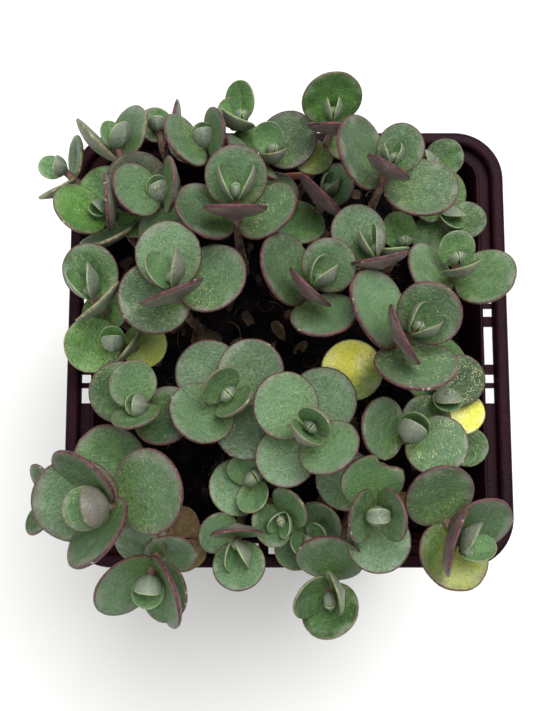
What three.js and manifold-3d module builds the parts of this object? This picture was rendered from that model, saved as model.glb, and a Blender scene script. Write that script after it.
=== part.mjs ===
// A potted lime zinger sedum: a square nursery pot, its soil, and the leafy stems that grow in it.
// Millimetres, +Z up. The origin is the middle of the pot's flat underside, and -Y is the front.

import Module from "manifold-3d";
import * as THREE from "three";
import { mergeVertices } from "three/addons/utils/BufferGeometryUtils.js";

const wasm = await Module();
wasm.setup();

const UP = new THREE.Vector3(0, 0, 1);
const DEGREE = Math.PI / 180;

// Driving dimensions of the pot. A half is half of an outer width, and WALL_HALF is the wall's at its top.
const POT_HEIGHT = 84;
const RIM_HALF = 45;
const RIM_CORNER = 10;
const RIM_WIDTH = 2.6;
const SKIRT_DEPTH = 9.5;
const SKIRT_WALL = 1;
const BASE_HALF = 31;
const BASE_CORNER = 5;
const WALL = 1;
const WALL_HALF = 40.2;
const FLOOR = 1.6;
const EDGE = 0.8;
const LIP_DROP = 1.1;
const WEB_DROP = 2.4;
const WEB_THICKNESS = 1.2;
const CORNER_STEPS = 4;

// Slots through the web on each side of the pot: [middle along the side, length].
const RIM_SLOTS = [[0, 8], [6.9, 1.8], [-6.9, 1.8], [10.4, 3.2], [-10.4, 3.2]];

// Drain holes for each side of the floor: [x, y, radius]. A channel under the floor leads out from the first.
const DRAIN_HOLES = [[22, 0, 3], [18, 18, 3.4]];
const DRAIN_SIDES = 12;
const CHANNEL_REACH = [20, 34];
const CHANNEL_WIDTH = 3;
const CHANNEL_DEPTH = 0.7;

// Driving dimensions of the soil.
const SOIL_DROP = 13;
const SOIL_LEVEL = POT_HEIGHT - SOIL_DROP;
const SOIL_EDGE_DROP = 2;
const SEAT_GAP = 0.3;
const HOLE_DEPTH = 9;
const HOLE_TOP = 8;
const HOLE_ROOM = 0.45;
const CHIPS = 14;
const CHIP_SPREAD = 68;
const CHIP_THICKNESS = 1.6;

// Driving dimensions of the stems and leaves.
const STEM_RADIUS = 1.1;
const STEM_TAPER = 0.3;
const STEM_START = 1.5;
const STEM_SIDES = 4;
const STEM_STEPS = 5;
const ROOT_BACK = 6;
const ROOT_SPREAD = 0.9;
const ROOT_LIMIT = 33;
const RIM_THICKNESS = 0.65;
const MIDDLE_THICKNESS = 1.2;

// Makes a closed geometry into a solid that can be joined and cut.
function solid(geometry) {
  const bare = new THREE.BufferGeometry();
  bare.setAttribute("position", geometry.getAttribute("position").clone());
  if (geometry.index) bare.setIndex(geometry.index.clone());
  const merged = mergeVertices(bare, 1e-4);
  return new wasm.Manifold(
    new wasm.Mesh({
      numProp: 3,
      vertProperties: new Float32Array(merged.getAttribute("position").array),
      triVerts: new Uint32Array(merged.index.array),
    }),
  );
}

// Makes a solid into a named mesh of one material.
function named(name, body, material) {
  const shape = body.getMesh();
  const geometry = new THREE.BufferGeometry();
  geometry.setAttribute("position", new THREE.BufferAttribute(new Float32Array(shape.vertProperties), 3));
  geometry.setIndex(new THREE.BufferAttribute(new Uint32Array(shape.triVerts), 1));
  const mesh = new THREE.Mesh(geometry, material);
  mesh.name = name;
  return mesh;
}

function joined(solids) {
  return wasm.Manifold.union(solids);
}

// Repeatable draws between 0 and 1.
function draws(seed) {
  let state = seed;
  return () => {
    state = (Math.imul(state, 1664525) + 1013904223) >>> 0;
    return state / 4294967296;
  };
}

function placed(geometry, position, quaternion) {
  return geometry.applyMatrix4(new THREE.Matrix4().compose(position, quaternion, new THREE.Vector3(1, 1, 1)));
}

function box(size, centre) {
  return new THREE.BoxGeometry(...size).translate(...centre);
}

// The turn about the pot's middle that brings the right-hand side onto each of the four sides.
function sideTurn(side) {
  return new THREE.Matrix4().makeRotationZ(side * 90 * DEGREE);
}

// The corners of a square with rounded corners, counter-clockwise.
function roundedSquare(half, corner, z) {
  const ring = [];
  for (let quarter = 0; quarter < 4; quarter++) {
    const middle = (quarter + 0.5) * 90 * DEGREE;
    const cx = (half - corner) * Math.SQRT2 * Math.cos(middle);
    const cy = (half - corner) * Math.SQRT2 * Math.sin(middle);
    for (let step = 0; step <= CORNER_STEPS; step++) {
      const angle = (quarter + step / CORNER_STEPS) * 90 * DEGREE;
      ring.push([cx + corner * Math.cos(angle), cy + corner * Math.sin(angle), z]);
    }
  }
  return ring;
}

// Joins rings of equally many points into one closed body, with a fan over the first and the last ring.
function loft(rings) {
  const count = rings[0].length;
  const positions = rings.flat(2);
  const triangles = [];
  for (let row = 0; row + 1 < rings.length; row++) {
    for (let i = 0; i < count; i++) {
      const a = row * count + i;
      const b = row * count + ((i + 1) % count);
      triangles.push(a, b, b + count, a, b + count, a + count);
    }
  }
  for (const [row, flip] of [[0, true], [rings.length - 1, false]]) {
    const centre = positions.length / 3;
    const ring = rings[row];
    for (let axis = 0; axis < 3; axis++) {
      positions.push(ring.reduce((sum, point) => sum + point[axis], 0) / count);
    }
    for (let i = 0; i < count; i++) {
      const a = row * count + i;
      const b = row * count + ((i + 1) % count);
      triangles.push(...(flip ? [centre, b, a] : [centre, a, b]));
    }
  }
  const geometry = new THREE.BufferGeometry();
  geometry.setAttribute("position", new THREE.Float32BufferAttribute(positions, 3));
  geometry.setIndex(triangles);
  return geometry;
}

// The corner radius that keeps the pot's walls parallel near its rim.
function rimCorner(half) {
  return RIM_CORNER - (RIM_HALF - half);
}

// The half width of the tapered wall's inner face at a height.
function innerHalf(z) {
  const low = BASE_HALF - WALL;
  const high = WALL_HALF - WALL;
  return low + ((high - low) * (z - FLOOR)) / (POT_HEIGHT - WEB_DROP - WEB_THICKNESS - FLOOR);
}

function innerCorner(z) {
  const low = BASE_CORNER - WALL;
  const high = rimCorner(WALL_HALF - WALL);
  return low + ((high - low) * (z - FLOOR)) / (POT_HEIGHT - WEB_DROP - WEB_THICKNESS - FLOOR);
}

// The pot is one moulding: a tapered wall, and round it a rim with a skirt, carried by a thin web.
function pot() {
  const top = POT_HEIGHT;
  const webTop = top - WEB_DROP;
  const webFoot = webTop - WEB_THICKNESS;
  const rimInner = RIM_HALF - RIM_WIDTH;
  const ring = (half, z) => roundedSquare(half, rimCorner(half), z);
  const shell = loft([
    roundedSquare(BASE_HALF - EDGE, BASE_CORNER - EDGE, 0),
    roundedSquare(BASE_HALF, BASE_CORNER, EDGE),
    ring(WALL_HALF, webFoot),
    ring(RIM_HALF - 1.3 * SKIRT_WALL, webFoot),
    ring(RIM_HALF - SKIRT_WALL, top - SKIRT_DEPTH),
    ring(RIM_HALF, top - SKIRT_DEPTH),
    ring(RIM_HALF, top - EDGE),
    ring(RIM_HALF - EDGE, top),
    ring(rimInner + EDGE, top),
    ring(rimInner, top - EDGE),
    ring(rimInner, webTop),
    ring(WALL_HALF, webTop),
    ring(WALL_HALF, top - LIP_DROP),
    ring(WALL_HALF - EDGE, top - LIP_DROP),
    roundedSquare(innerHalf(webFoot), innerCorner(webFoot), webFoot),
    roundedSquare(innerHalf(FLOOR), innerCorner(FLOOR), FLOOR),
  ]);
  return solid(shell).subtract(joined([...rimSlots(), ...drainHoles()]));
}

function rimSlots() {
  const width = RIM_HALF - RIM_WIDTH - WALL_HALF;
  const distance = WALL_HALF + width / 2;
  const z = POT_HEIGHT - WEB_DROP - WEB_THICKNESS / 2;
  const cuts = [];
  for (let side = 0; side < 4; side++) {
    for (const [middle, length] of RIM_SLOTS) {
      const cut = box([width - 0.1, length, WEB_THICKNESS + 1], [distance, middle, z]);
      cuts.push(solid(cut.applyMatrix4(sideTurn(side))));
    }
  }
  return cuts;
}

// Eight drain holes through the floor, and shallow channels that let the water out under the pot.
function drainHoles() {
  const [from, to] = CHANNEL_REACH;
  const cuts = [];
  for (let side = 0; side < 4; side++) {
    for (const [x, y, radius] of DRAIN_HOLES) {
      const hole = new THREE.CylinderGeometry(radius, radius, 4 * FLOOR, DRAIN_SIDES).rotateX(90 * DEGREE);
      cuts.push(solid(hole.translate(x, y, 0).applyMatrix4(sideTurn(side))));
    }
    const channel = box([to - from, CHANNEL_WIDTH, 2 * CHANNEL_DEPTH], [(from + to) / 2, 0, 0]);
    cuts.push(solid(channel.applyMatrix4(sideTurn(side))));
  }
  return cuts;
}

// The height of the soil's crumbly top at a place.
function soilTop(x, y) {
  const swell = 1.1 * Math.sin(x * 0.13 + 1) * Math.cos(y * 0.11 - 0.4);
  const crumbs = 0.55 * Math.sin(x * 0.71 + y * 0.37) * Math.cos(y * 0.63 - x * 0.29);
  return SOIL_LEVEL + swell + crumbs;
}

// Chips of bark that lie half sunk in the soil's top.
function barkChips() {
  const draw = draws(11);
  const chips = [];
  for (let i = 0; i < CHIPS; i++) {
    const x = (draw() - 0.5) * CHIP_SPREAD;
    const y = (draw() - 0.5) * CHIP_SPREAD;
    const length = 2.2 + 3.4 * draw();
    const chip = new THREE.BoxGeometry(length, length * (0.35 + 0.3 * draw()), CHIP_THICKNESS);
    const tilt = new THREE.Euler((draw() - 0.5) * 0.7, (draw() - 0.5) * 0.7, draw() * Math.PI);
    const middle = new THREE.Vector3(x, y, soilTop(x, y) + 0.1);
    chips.push(solid(placed(chip, middle, new THREE.Quaternion().setFromEuler(tilt))));
  }
  return chips;
}

// Plain upright holes that the stems stand in.
function stemHoles(shoots) {
  const width = STEM_RADIUS + HOLE_ROOM;
  const height = HOLE_DEPTH + HOLE_TOP;
  return shoots.map((shoot) => {
    const hole = new THREE.CylinderGeometry(width, width, height, STEM_SIDES).rotateX(90 * DEGREE);
    return solid(hole.translate(shoot.root[0], shoot.root[1], SOIL_LEVEL - HOLE_DEPTH + height / 2));
  });
}

// Soil fills the pot up to its crumbly top.
function soil(shoots) {
  const foot = FLOOR + SEAT_GAP;
  const level = SOIL_LEVEL - SOIL_EDGE_DROP;
  const side = (z) => roundedSquare(innerHalf(z) - SEAT_GAP, Math.max(1, innerCorner(z) - SEAT_GAP), z);
  const rings = [side(foot), side(level)];
  for (const share of [0.98, 0.75, 0.5, 0.25]) {
    const half = (innerHalf(level) - SEAT_GAP) * share;
    const flat = roundedSquare(half, half * (0.25 + 0.7 * (1 - share)), 0);
    rings.push(flat.map(([x, y]) => [x, y, soilTop(x, y)]));
  }
  return joined([solid(loft(rings)), ...barkChips()]).subtract(joined(stemHoles(shoots)));
}

// The leafy stems, each with its own node. tip is where the bud stands. lean is the rosette's heading and
// its angle from upright, in degrees; headings count from +X towards +Y. root, where it is given, is the
// foot's place in the soil. Each row of leaves is one joint, from the lowest up to the bud: its distance
// below the tip, the leaves' size, then the heading and rise of one leaf, or of both leaves of a pair.
// fresh marks bright new growth.
const SHOOTS = [
  { name: "shoot_far_left", tip: [-45.6, 34.3, 92], lean: [140, 65],
    leaves: [[2.8, 8.5, 80, 10, 222, 32], [0.5, 5.2, 169, 15, 169, 75]] },
  { name: "shoot_back_left_corner", tip: [-34, 37, 96], lean: [108, 62],
    leaves: [[2.8, 10.8, 71, 17, 140, 38], [0.5, 5.4, 108, 10, 43, 45]] },
  { name: "shoot_back_left_small", tip: [-26.5, 43, 93], lean: [100, 65],
    leaves: [[3.6, 9.4, 78, 28, 104, 4], [0.6, 5.2, 110, 20, 110, 68]] },
  { name: "shoot_back_left", tip: [-16.5, 37.5, 102], lean: [90, 15],
    leaves: [[6.6, 8.4, 144, 3], [2, 11.6, 190, 50, 5, 72], [0.6, 5.8, 110, 55, 280, 75]] },
  { name: "shoot_back_bright", tip: [-8.3, 43, 97], lean: [85, 45], fresh: true,
    leaves: [[5.2, 7, 15, 18, 190, 18], [0.6, 6.8, 92, 5, 155, 40]] },
  { name: "shoot_back_centre", tip: [-10, 23, 112], lean: [90, 34],
    leaves: [[7, 12.4, 13, 32, 165, 30], [3.6, 12, 90, 32, 270, 82], [0.9, 8, 55, 38, 121, 38]] },
  { name: "shoot_back_purple", tip: [-4.2, 34.3, 100], lean: [45, 32],
    leaves: [[7, 9.4, 310, 10], [3, 12.2, 42, 12, 200, 66], [0.9, 7, 85, 38, 8, 42]] },
  { name: "shoot_back_top", tip: [8.2, 40.3, 103], lean: [90, 30], root: [2, 33], fresh: true,
    leaves: [[8.5, 8, 24, 3], [3, 11.6, 92, 33, 270, 90], [1.2, 5.5, 105, 42, 75, 42]] },
  { name: "shoot_back_right", tip: [18.6, 29.6, 112], lean: [62, 32],
    leaves: [[6, 14, 135, 40, 351, 6], [2.6, 8.9, 60, 25, 240, 85]] },
  { name: "shoot_back_right_low", tip: [29.3, 35.2, 92], lean: [60, 20], root: [24, 32],
    leaves: [[2.4, 8.8, 70, 12], [0.8, 4.5, 160, 45, 340, 45]] },
  { name: "shoot_right_low", tip: [32.5, 26, 86], lean: [0, 12],
    leaves: [[3.5, 10.2, 65, 10, 255, 10], [1.2, 9, 345, 15, 150, 30]] },
  { name: "shoot_behind_middle", tip: [7.7, 28.7, 96], lean: [60, 28],
    leaves: [[6.2, 11, 215, 25], [2.6, 9.2, 38, 44, 240, 82], [0.9, 5, 153, 60, 333, 60]] },
  { name: "shoot_middle_right", tip: [16.2, 12.7, 108], lean: [100, 22],
    leaves: [[2.8, 10.8, 114, 15, 276, 84], [0.9, 6.5, 125, 45, 62, 48]] },
  { name: "shoot_curled", tip: [21.8, 17.7, 98], lean: [60, 20],
    leaves: [[2.2, 7, 60, 35, 230, 50]] },
  { name: "shoot_right", tip: [31.5, 12.4, 104], lean: [95, 25],
    leaves: [[5.4, 12.2, 0, 32, 177, 43], [2, 8.2, 92, 36, 285, 82]] },
  { name: "shoot_centre_back", tip: [5, 7.2, 110], lean: [45, 28],
    leaves: [[6, 13.2, 126, 28, 304, 42], [2.8, 10, 54, 34, 224, 80], [1, 6, 100, 46, 350, 46]] },
  { name: "shoot_centre_right", tip: [22.2, -2.4, 114], lean: [40, 34],
    leaves: [[21, 10.6, 205, 10], [6.2, 14.4, 119, 10, 304, 40], [2.9, 11.8, 46, 38, 208, 82],
      [1, 6.4, 98, 42, 348, 44]] },
  { name: "shoot_right_dark", tip: [30.6, -12.4, 96], lean: [50, 20],
    leaves: [[8.5, 9, 332, 8, 82, 8], [3, 10.2, 48, 8, 228, 8], [0.9, 6.6, 95, 50, 275, 62]] },
  { name: "shoot_front_right_middle", tip: [22.5, -19.7, 104], lean: [60, 12],
    leaves: [[4.4, 12, 340, 25, 166, 48], [1.4, 7.4, 82, 46, 247, 75]] },
  { name: "shoot_left_centre", tip: [-21.3, 7.1, 112], lean: [105, 25],
    leaves: [[6.4, 13.6, 196, 32, 33, 8], [3, 12.5, 103, 14, 250, 76], [1, 7.8, 138, 45, 71, 32]] },
  { name: "shoot_left_back", tip: [-23.8, 26.4, 106], lean: [160, 13],
    leaves: [[5.2, 11, 140, 24, 265, 25], [2.2, 11, 185, 42, 0, 76], [0.6, 4.8, 110, 50, 290, 70]] },
  { name: "shoot_left_bright", tip: [-35.6, 24, 102], lean: [150, 18], fresh: true,
    leaves: [[8.2, 12, 110, 9, 257, 57], [2.2, 11.4, 190, 40, 0, 88], [0.6, 4.2, 95, 60, 275, 72]] },
  { name: "shoot_left_middle", tip: [-37.8, 6.5, 102], lean: [130, 22],
    leaves: [[8, 7.6, 8, 6], [3, 11.4, 100, 28, 315, 76], [1, 6.6, 130, 42, 75, 36]] },
  { name: "shoot_left_lime", tip: [-34, -2.8, 98], lean: [190, 32], fresh: true,
    leaves: [[7, 8.6, 12, 35], [4.2, 11.2, 178, 12, 345, 78], [0.6, 5.8, 95, 58, 270, 74]] },
  { name: "shoot_left_front", tip: [-28, -15, 106], lean: [155, 15],
    leaves: [[5.8, 12, 160, 14, 335, 16], [2, 9.4, 108, 30, 250, 60], [0.6, 4.4, 165, 62, 345, 75]] },
  { name: "shoot_centre_left", tip: [-11.4, -13.3, 106], lean: [90, 5],
    leaves: [[7.4, 12, 122, 5, 300, 5], [4, 12.8, 48, 8, 205, 38], [1.6, 9, 130, 55, 315, 60]] },
  { name: "shoot_centre_front", tip: [3.5, -19.5, 108], lean: [60, 5],
    leaves: [[7.4, 13.6, 63, 5, 224, 5], [4.2, 12, 138, 22, 322, 42], [1.5, 8, 50, 66, 230, 66]] },
  { name: "shoot_front_middle_left", tip: [-7, -28, 95], lean: [45, 10],
    leaves: [[3.4, 11, 212, 28], [1.4, 7.4, 152, 36, 272, 34]] },
  { name: "shoot_front_left_small", tip: [-9.9, -40.2, 98], lean: [268, 20],
    leaves: [[7.8, 8.6, 195, 22], [2.4, 10.3, 92, 88, 274, 28], [0.8, 6, 200, 64, 340, 64]] },
  { name: "shoot_front_tiny_left", tip: [-1.6, -36, 96], lean: [200, 10],
    leaves: [[3.2, 9, 57, 8, 240, 22], [1.2, 5.4, 150, 45, 330, 50]] },
  { name: "shoot_front_tiny_right", tip: [3.9, -39.6, 89.5], lean: [215, 10],
    leaves: [[3.4, 9, 46, 12, 235, 15], [1.2, 6, 140, 58, 320, 55]] },
  { name: "shoot_front_right", tip: [16, -36, 104], lean: [270, 22],
    leaves: [[10, 9.6, 150, 5], [6, 12, 95, 42, 276, 12], [2.8, 10.4, 182, 50, 2, 70],
      [0.9, 5.6, 92, 70, 272, 60]] },
  { name: "shoot_right_front_corner", tip: [31.6, -41, 104], lean: [295, 48],
    leaves: [[7.6, 13, 280, 22, 128, 52], [2.6, 11, 15, 22, 168, 78], [0.8, 7.2, 70, 45, 355, 45]] },
  { name: "shoot_front_edge", tip: [7.4, -50.2, 95], lean: [275, 35], root: [13, -33],
    leaves: [[4.4, 11.2, 92, 52, 274, 34], [1.8, 9.2, 205, 45, 345, 72]] },
  { name: "shoot_front_left_edge", tip: [-26.2, -47.4, 98], lean: [262, 55],
    leaves: [[8, 9, 35, 25, 138, 18], [4.6, 11, 275, 8], [2.6, 12.6, 214, 14, 300, 34],
      [0.6, 7.4, 265, 12, 270, 62]] },
  { name: "shoot_left_front_corner", tip: [-33, -34, 114], lean: [192, 30],
    leaves: [[19, 14.6, 108, 8], [5.5, 15.4, 182, 5, 22, 42], [2.4, 11.8, 142, 32, 247, 24],
      [0.8, 8.2, 182, 18, 180, 68]] },
  { name: "shoot_left_low", tip: [-46.6, -32, 95], lean: [190, 25],
    leaves: [[1.6, 9, 225, 8, 108, 10]] },
  { name: "shoot_right_low_middle", tip: [32.5, -23.5, 86], lean: [30, 12],
    leaves: [[1.5, 8, 350, 12, 120, 12]] },
];

// The unit vector at a heading and an angle above the ground, in degrees.
function direction(heading, rise) {
  const turn = heading * DEGREE;
  const lift = rise * DEGREE;
  return new THREE.Vector3(Math.cos(turn) * Math.cos(lift), Math.sin(turn) * Math.cos(lift), Math.sin(lift));
}

// A stem rises straight out of the soil and bends over into its rosette's lean.
function stemCurve(shoot) {
  const axis = direction(shoot.lean[0], 90 - shoot.lean[1]);
  const tip = new THREE.Vector3(...shoot.tip);
  const reach = tip.z - SOIL_LEVEL;
  const start = new THREE.Vector3(shoot.root[0], shoot.root[1], SOIL_LEVEL + STEM_START);
  return new THREE.CubicBezierCurve3(
    start,
    start.clone().addScaledVector(UP, 0.45 * reach),
    tip.clone().addScaledVector(axis, -0.4 * reach),
    tip,
  );
}

// A stem's own solid: a straight root in its hole, then the curve, a little thinner towards the tip.
function stem(shoot, curve) {
  const ringAt = (centre, tangent, radius) => {
    const turn = new THREE.Quaternion().setFromUnitVectors(UP, tangent);
    const ring = [];
    for (let i = 0; i < STEM_SIDES; i++) {
      const angle = (i / STEM_SIDES) * 2 * Math.PI;
      const point = new THREE.Vector3(radius * Math.cos(angle), radius * Math.sin(angle), 0);
      ring.push(point.applyQuaternion(turn).add(centre).toArray());
    }
    return ring;
  };
  const foot = new THREE.Vector3(shoot.root[0], shoot.root[1], SOIL_LEVEL - HOLE_DEPTH + SEAT_GAP);
  const rings = [ringAt(foot, UP, STEM_RADIUS)];
  for (let step = 0; step <= STEM_STEPS; step++) {
    const share = step / STEM_STEPS;
    const radius = STEM_RADIUS * (1 - STEM_TAPER * share);
    rings.push(ringAt(curve.getPointAt(share), curve.getTangentAt(share), radius));
  }
  return solid(loft(rings));
}

// One thick round leaf: its rim is a circle that starts on the stem, and its middle is dished below the rim.
function leaf(size, rise) {
  const radius = size / 2;
  const sides = size > 9 ? 9 : size > 4 ? 7 : 5;
  const dish = size * (0.05 + 0.08 * Math.min(1, rise / 70));
  const positions = [];
  for (const drop of [0, RIM_THICKNESS]) {
    for (let i = 0; i < sides; i++) {
      const angle = ((i + 0.5) / sides) * 2 * Math.PI;
      positions.push(radius + radius * Math.cos(angle), radius * Math.sin(angle), -drop);
    }
  }
  positions.push(radius, 0, -dish, radius, 0, -dish - MIDDLE_THICKNESS);
  const triangles = [];
  for (let i = 0; i < sides; i++) {
    const next = (i + 1) % sides;
    triangles.push(2 * sides, i, next);
    triangles.push(2 * sides + 1, sides + next, sides + i);
    triangles.push(i, sides + i, sides + next, i, sides + next, next);
  }
  const geometry = new THREE.BufferGeometry();
  geometry.setAttribute("position", new THREE.Float32BufferAttribute(positions, 3));
  geometry.setIndex(triangles);
  return geometry;
}

// A leaf points along its heading and rise, and its face turns towards the way its stem is growing.
function leafTurn(heading, rise, growing) {
  const along = direction(heading, rise);
  const face = growing.clone().addScaledVector(along, -growing.dot(along)).normalize();
  const across = face.clone().cross(along);
  return new THREE.Quaternion().setFromRotationMatrix(new THREE.Matrix4().makeBasis(along, across, face));
}

// A whole shoot: the stem and its leaves, fused.
function leafyStem(shoot) {
  const curve = stemCurve(shoot);
  const length = curve.getLength();
  const pieces = [stem(shoot, curve)];
  for (const [drop, size, ...turns] of shoot.leaves) {
    const share = 1 - drop / length;
    const joint = curve.getPointAt(share);
    const growing = curve.getTangentAt(share);
    for (let i = 0; i < turns.length; i += 2) {
      const [heading, rise] = turns.slice(i, i + 2);
      pieces.push(solid(placed(leaf(size, rise), joint, leafTurn(heading, rise, growing))));
    }
  }
  return joined(pieces);
}

// Where a stem enters the soil, unless the table says: behind its rosette, drawn in from the pot's wall.
function rootOf(shoot) {
  const behind = direction(shoot.lean[0], 90 - shoot.lean[1]).multiplyScalar(-ROOT_BACK);
  const inside = (value) => THREE.MathUtils.clamp(value * ROOT_SPREAD, -ROOT_LIMIT, ROOT_LIMIT);
  return [inside(shoot.tip[0] + behind.x), inside(shoot.tip[1] + behind.y)];
}

const plastic = new THREE.MeshStandardMaterial({ name: "pot_plastic", color: 0x2c1a22, roughness: 0.45 });
const earth = new THREE.MeshStandardMaterial({ name: "potting_soil", color: 0x2a1d14, roughness: 0.95 });

function foliage(shoot) {
  const color = shoot.fresh ? 0x6d9440 : 0x64806c;
  return new THREE.MeshStandardMaterial({ name: `${shoot.name}_leaves`, color, roughness: 0.55 });
}

const shoots = SHOOTS.map((shoot) => ({ root: rootOf(shoot), ...shoot }));
const plant = new THREE.Group();
plant.add(named("pot", pot(), plastic));
plant.add(named("soil", soil(shoots), earth));
for (const shoot of shoots) plant.add(named(shoot.name, leafyStem(shoot), foliage(shoot)));

export default plant;
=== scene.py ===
"""A potted lime zinger sedum: nursery pot, potting soil and leafy stems. Metres, +Z up, -Y the front."""

import math
import random

import bpy
from mathutils import Euler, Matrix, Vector


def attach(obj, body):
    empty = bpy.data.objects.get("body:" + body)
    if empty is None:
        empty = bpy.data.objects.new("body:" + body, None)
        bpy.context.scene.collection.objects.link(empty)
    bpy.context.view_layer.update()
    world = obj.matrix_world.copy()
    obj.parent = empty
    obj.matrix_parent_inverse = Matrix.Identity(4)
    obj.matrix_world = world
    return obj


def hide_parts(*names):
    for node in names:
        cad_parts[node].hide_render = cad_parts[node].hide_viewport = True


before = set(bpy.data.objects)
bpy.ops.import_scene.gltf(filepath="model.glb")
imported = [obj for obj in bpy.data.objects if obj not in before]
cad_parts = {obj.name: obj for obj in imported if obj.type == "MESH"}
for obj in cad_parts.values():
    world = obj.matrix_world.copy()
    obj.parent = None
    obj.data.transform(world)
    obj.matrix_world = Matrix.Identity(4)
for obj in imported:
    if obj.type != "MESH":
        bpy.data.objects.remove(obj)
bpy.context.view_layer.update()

MM = 0.001

# The pot's sizes in millimetres, outer halves and heights.
POT_HEIGHT = 84
RIM_HALF = 45
RIM_CORNER = 10
RIM_WIDTH = 2.6
SKIRT_DEPTH = 9.5
SKIRT_WALL = 1
BASE_HALF = 31
BASE_CORNER = 5
WALL = 1
WALL_HALF = 40.2
FLOOR = 1.6
EDGE = 0.8
EDGE_STEPS = 4
BEVEL = 0.2
LIP_DROP = 1.1
WEB_DROP = 2.4
WEB_THICKNESS = 1.2
CORNER_STEPS = 14

# Slots through the web on each side, as (middle along the side, length), and drain holes as (x, y, radius).
# What cuts them reaches past the web and below the floor.
RIM_SLOTS = [(0, 8), (6.9, 1.8), (-6.9, 1.8), (10.4, 3.2), (-10.4, 3.2)]
DRAIN_HOLES = [(22, 0, 3), (18, 18, 3.4)]
DRAIN_SIDES = 40
CHANNEL_REACH = (20, 34)
CHANNEL_WIDTH = 3
CHANNEL_DEPTH = 0.7
CUT_PAST = 0.5
CUT_BELOW = 2

# The soil's sizes in millimetres. Litter lies on it from just above its edge.
SOIL_LEVEL = POT_HEIGHT - 13
SOIL_EDGE_DROP = 2
SEAT_GAP = 0.3
BED_STEPS = 48
BED_ROWS = 84
LITTER_START = 0.8
FIBRE_COUNT = 150
FIBRE_STEPS = 14
FIBRE_START_HALF = 36
FIBRE_END_HALF = 36.5

# Litter in metres: how much lies on a square metre, its smallest and largest sizes and how far it tilts.
CRUMBS = {"Per Square Metre": 260000.0, "Seed": 3,
          "Smallest": (0.0006, 0.0006, 0.0005), "Largest": (0.0019, 0.0017, 0.0013)}
FLAKES = {"Per Square Metre": 30000.0, "Seed": 8, "Tilt": 0.6,
          "Smallest": (0.0014, 0.0008, 0.0004), "Largest": (0.0048, 0.0024, 0.0009)}

# The stems' sizes in millimetres. Taper and swell are shares of the radius, and joints that have lost their
# leaves stand this far below the tip.
STEM_RADIUS = 0.95
STEM_TAPER = 0.25
STEM_START = 1.5
STEM_STEPS = 40
JOINT_SWELL = 0.22
JOINT_HALF = 0.6
OLD_JOINTS = (16, 24, 32)
ROOT_DEPTH = 8.5
ROOT_BACK = 6
ROOT_SPREAD = 0.9
ROOT_LIMIT = 33

# A pair smaller than this is the bud. One whose joint is this close to the tip is young, which means more
# closed, the more so the smaller it is.
BUD_SIZE = 4
YOUNG_DROP = 2.3
YOUNG_SIZES = (7, 10)


class Value:
    """A socket of a node tree. Arithmetic on it adds Math nodes, or Vector Math nodes for a vector."""

    def __init__(self, graph, socket):
        self.graph = graph
        self.socket = socket

    def math(self, operation, *others):
        sockets = dict(enumerate((self, *others)))
        return self.graph.add("ShaderNodeMath", sockets, operation=operation)["Value"]

    def vector_math(self, operation, *others):
        sockets = dict(enumerate((self, *others)))
        return self.graph.add("ShaderNodeVectorMath", sockets, operation=operation)["Vector"]

    def is_vector(self):
        return self.socket.type == "VECTOR"

    def __add__(self, other):
        return self.vector_math("ADD", other) if self.is_vector() else self.math("ADD", other)

    def __radd__(self, other):
        return self + other

    def __sub__(self, other):
        return self.vector_math("SUBTRACT", other) if self.is_vector() else self.math("SUBTRACT", other)

    def __rsub__(self, other):
        return -1 * self + other

    def __mul__(self, other):
        if self.is_vector():
            sockets = {"Vector": self, "Scale": other}
            return self.graph.add("ShaderNodeVectorMath", sockets, operation="SCALE")["Vector"]
        return self.math("MULTIPLY", other)

    def __rmul__(self, other):
        return self * other

    def __truediv__(self, other):
        return self.math("DIVIDE", other)

    def __pow__(self, other):
        return self.math("POWER", other)

    def ramp(self, low, high):
        """Eases from 0 to 1 as the value goes from low to high."""
        sockets = {"Value": self, "From Min": low, "From Max": high}
        return self.graph.add("ShaderNodeMapRange", sockets, interpolation_type="SMOOTHSTEP")["Result"]

    def parts(self):
        made = self.graph.add("ShaderNodeSeparateXYZ", {"Vector": self})
        return made["X"], made["Y"], made["Z"]


class Made:
    """A node that has been added, with its outputs by name."""

    def __init__(self, graph, node):
        self.graph = graph
        self.node = node

    def __getitem__(self, name):
        return Value(self.graph, find_socket(self.node.outputs, name))


def find_socket(sockets, name):
    if isinstance(name, int):
        return sockets[name]
    exact = [socket for socket in sockets if socket.identifier == name]
    return exact[0] if exact else next(socket for socket in sockets if socket.name == name)


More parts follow.
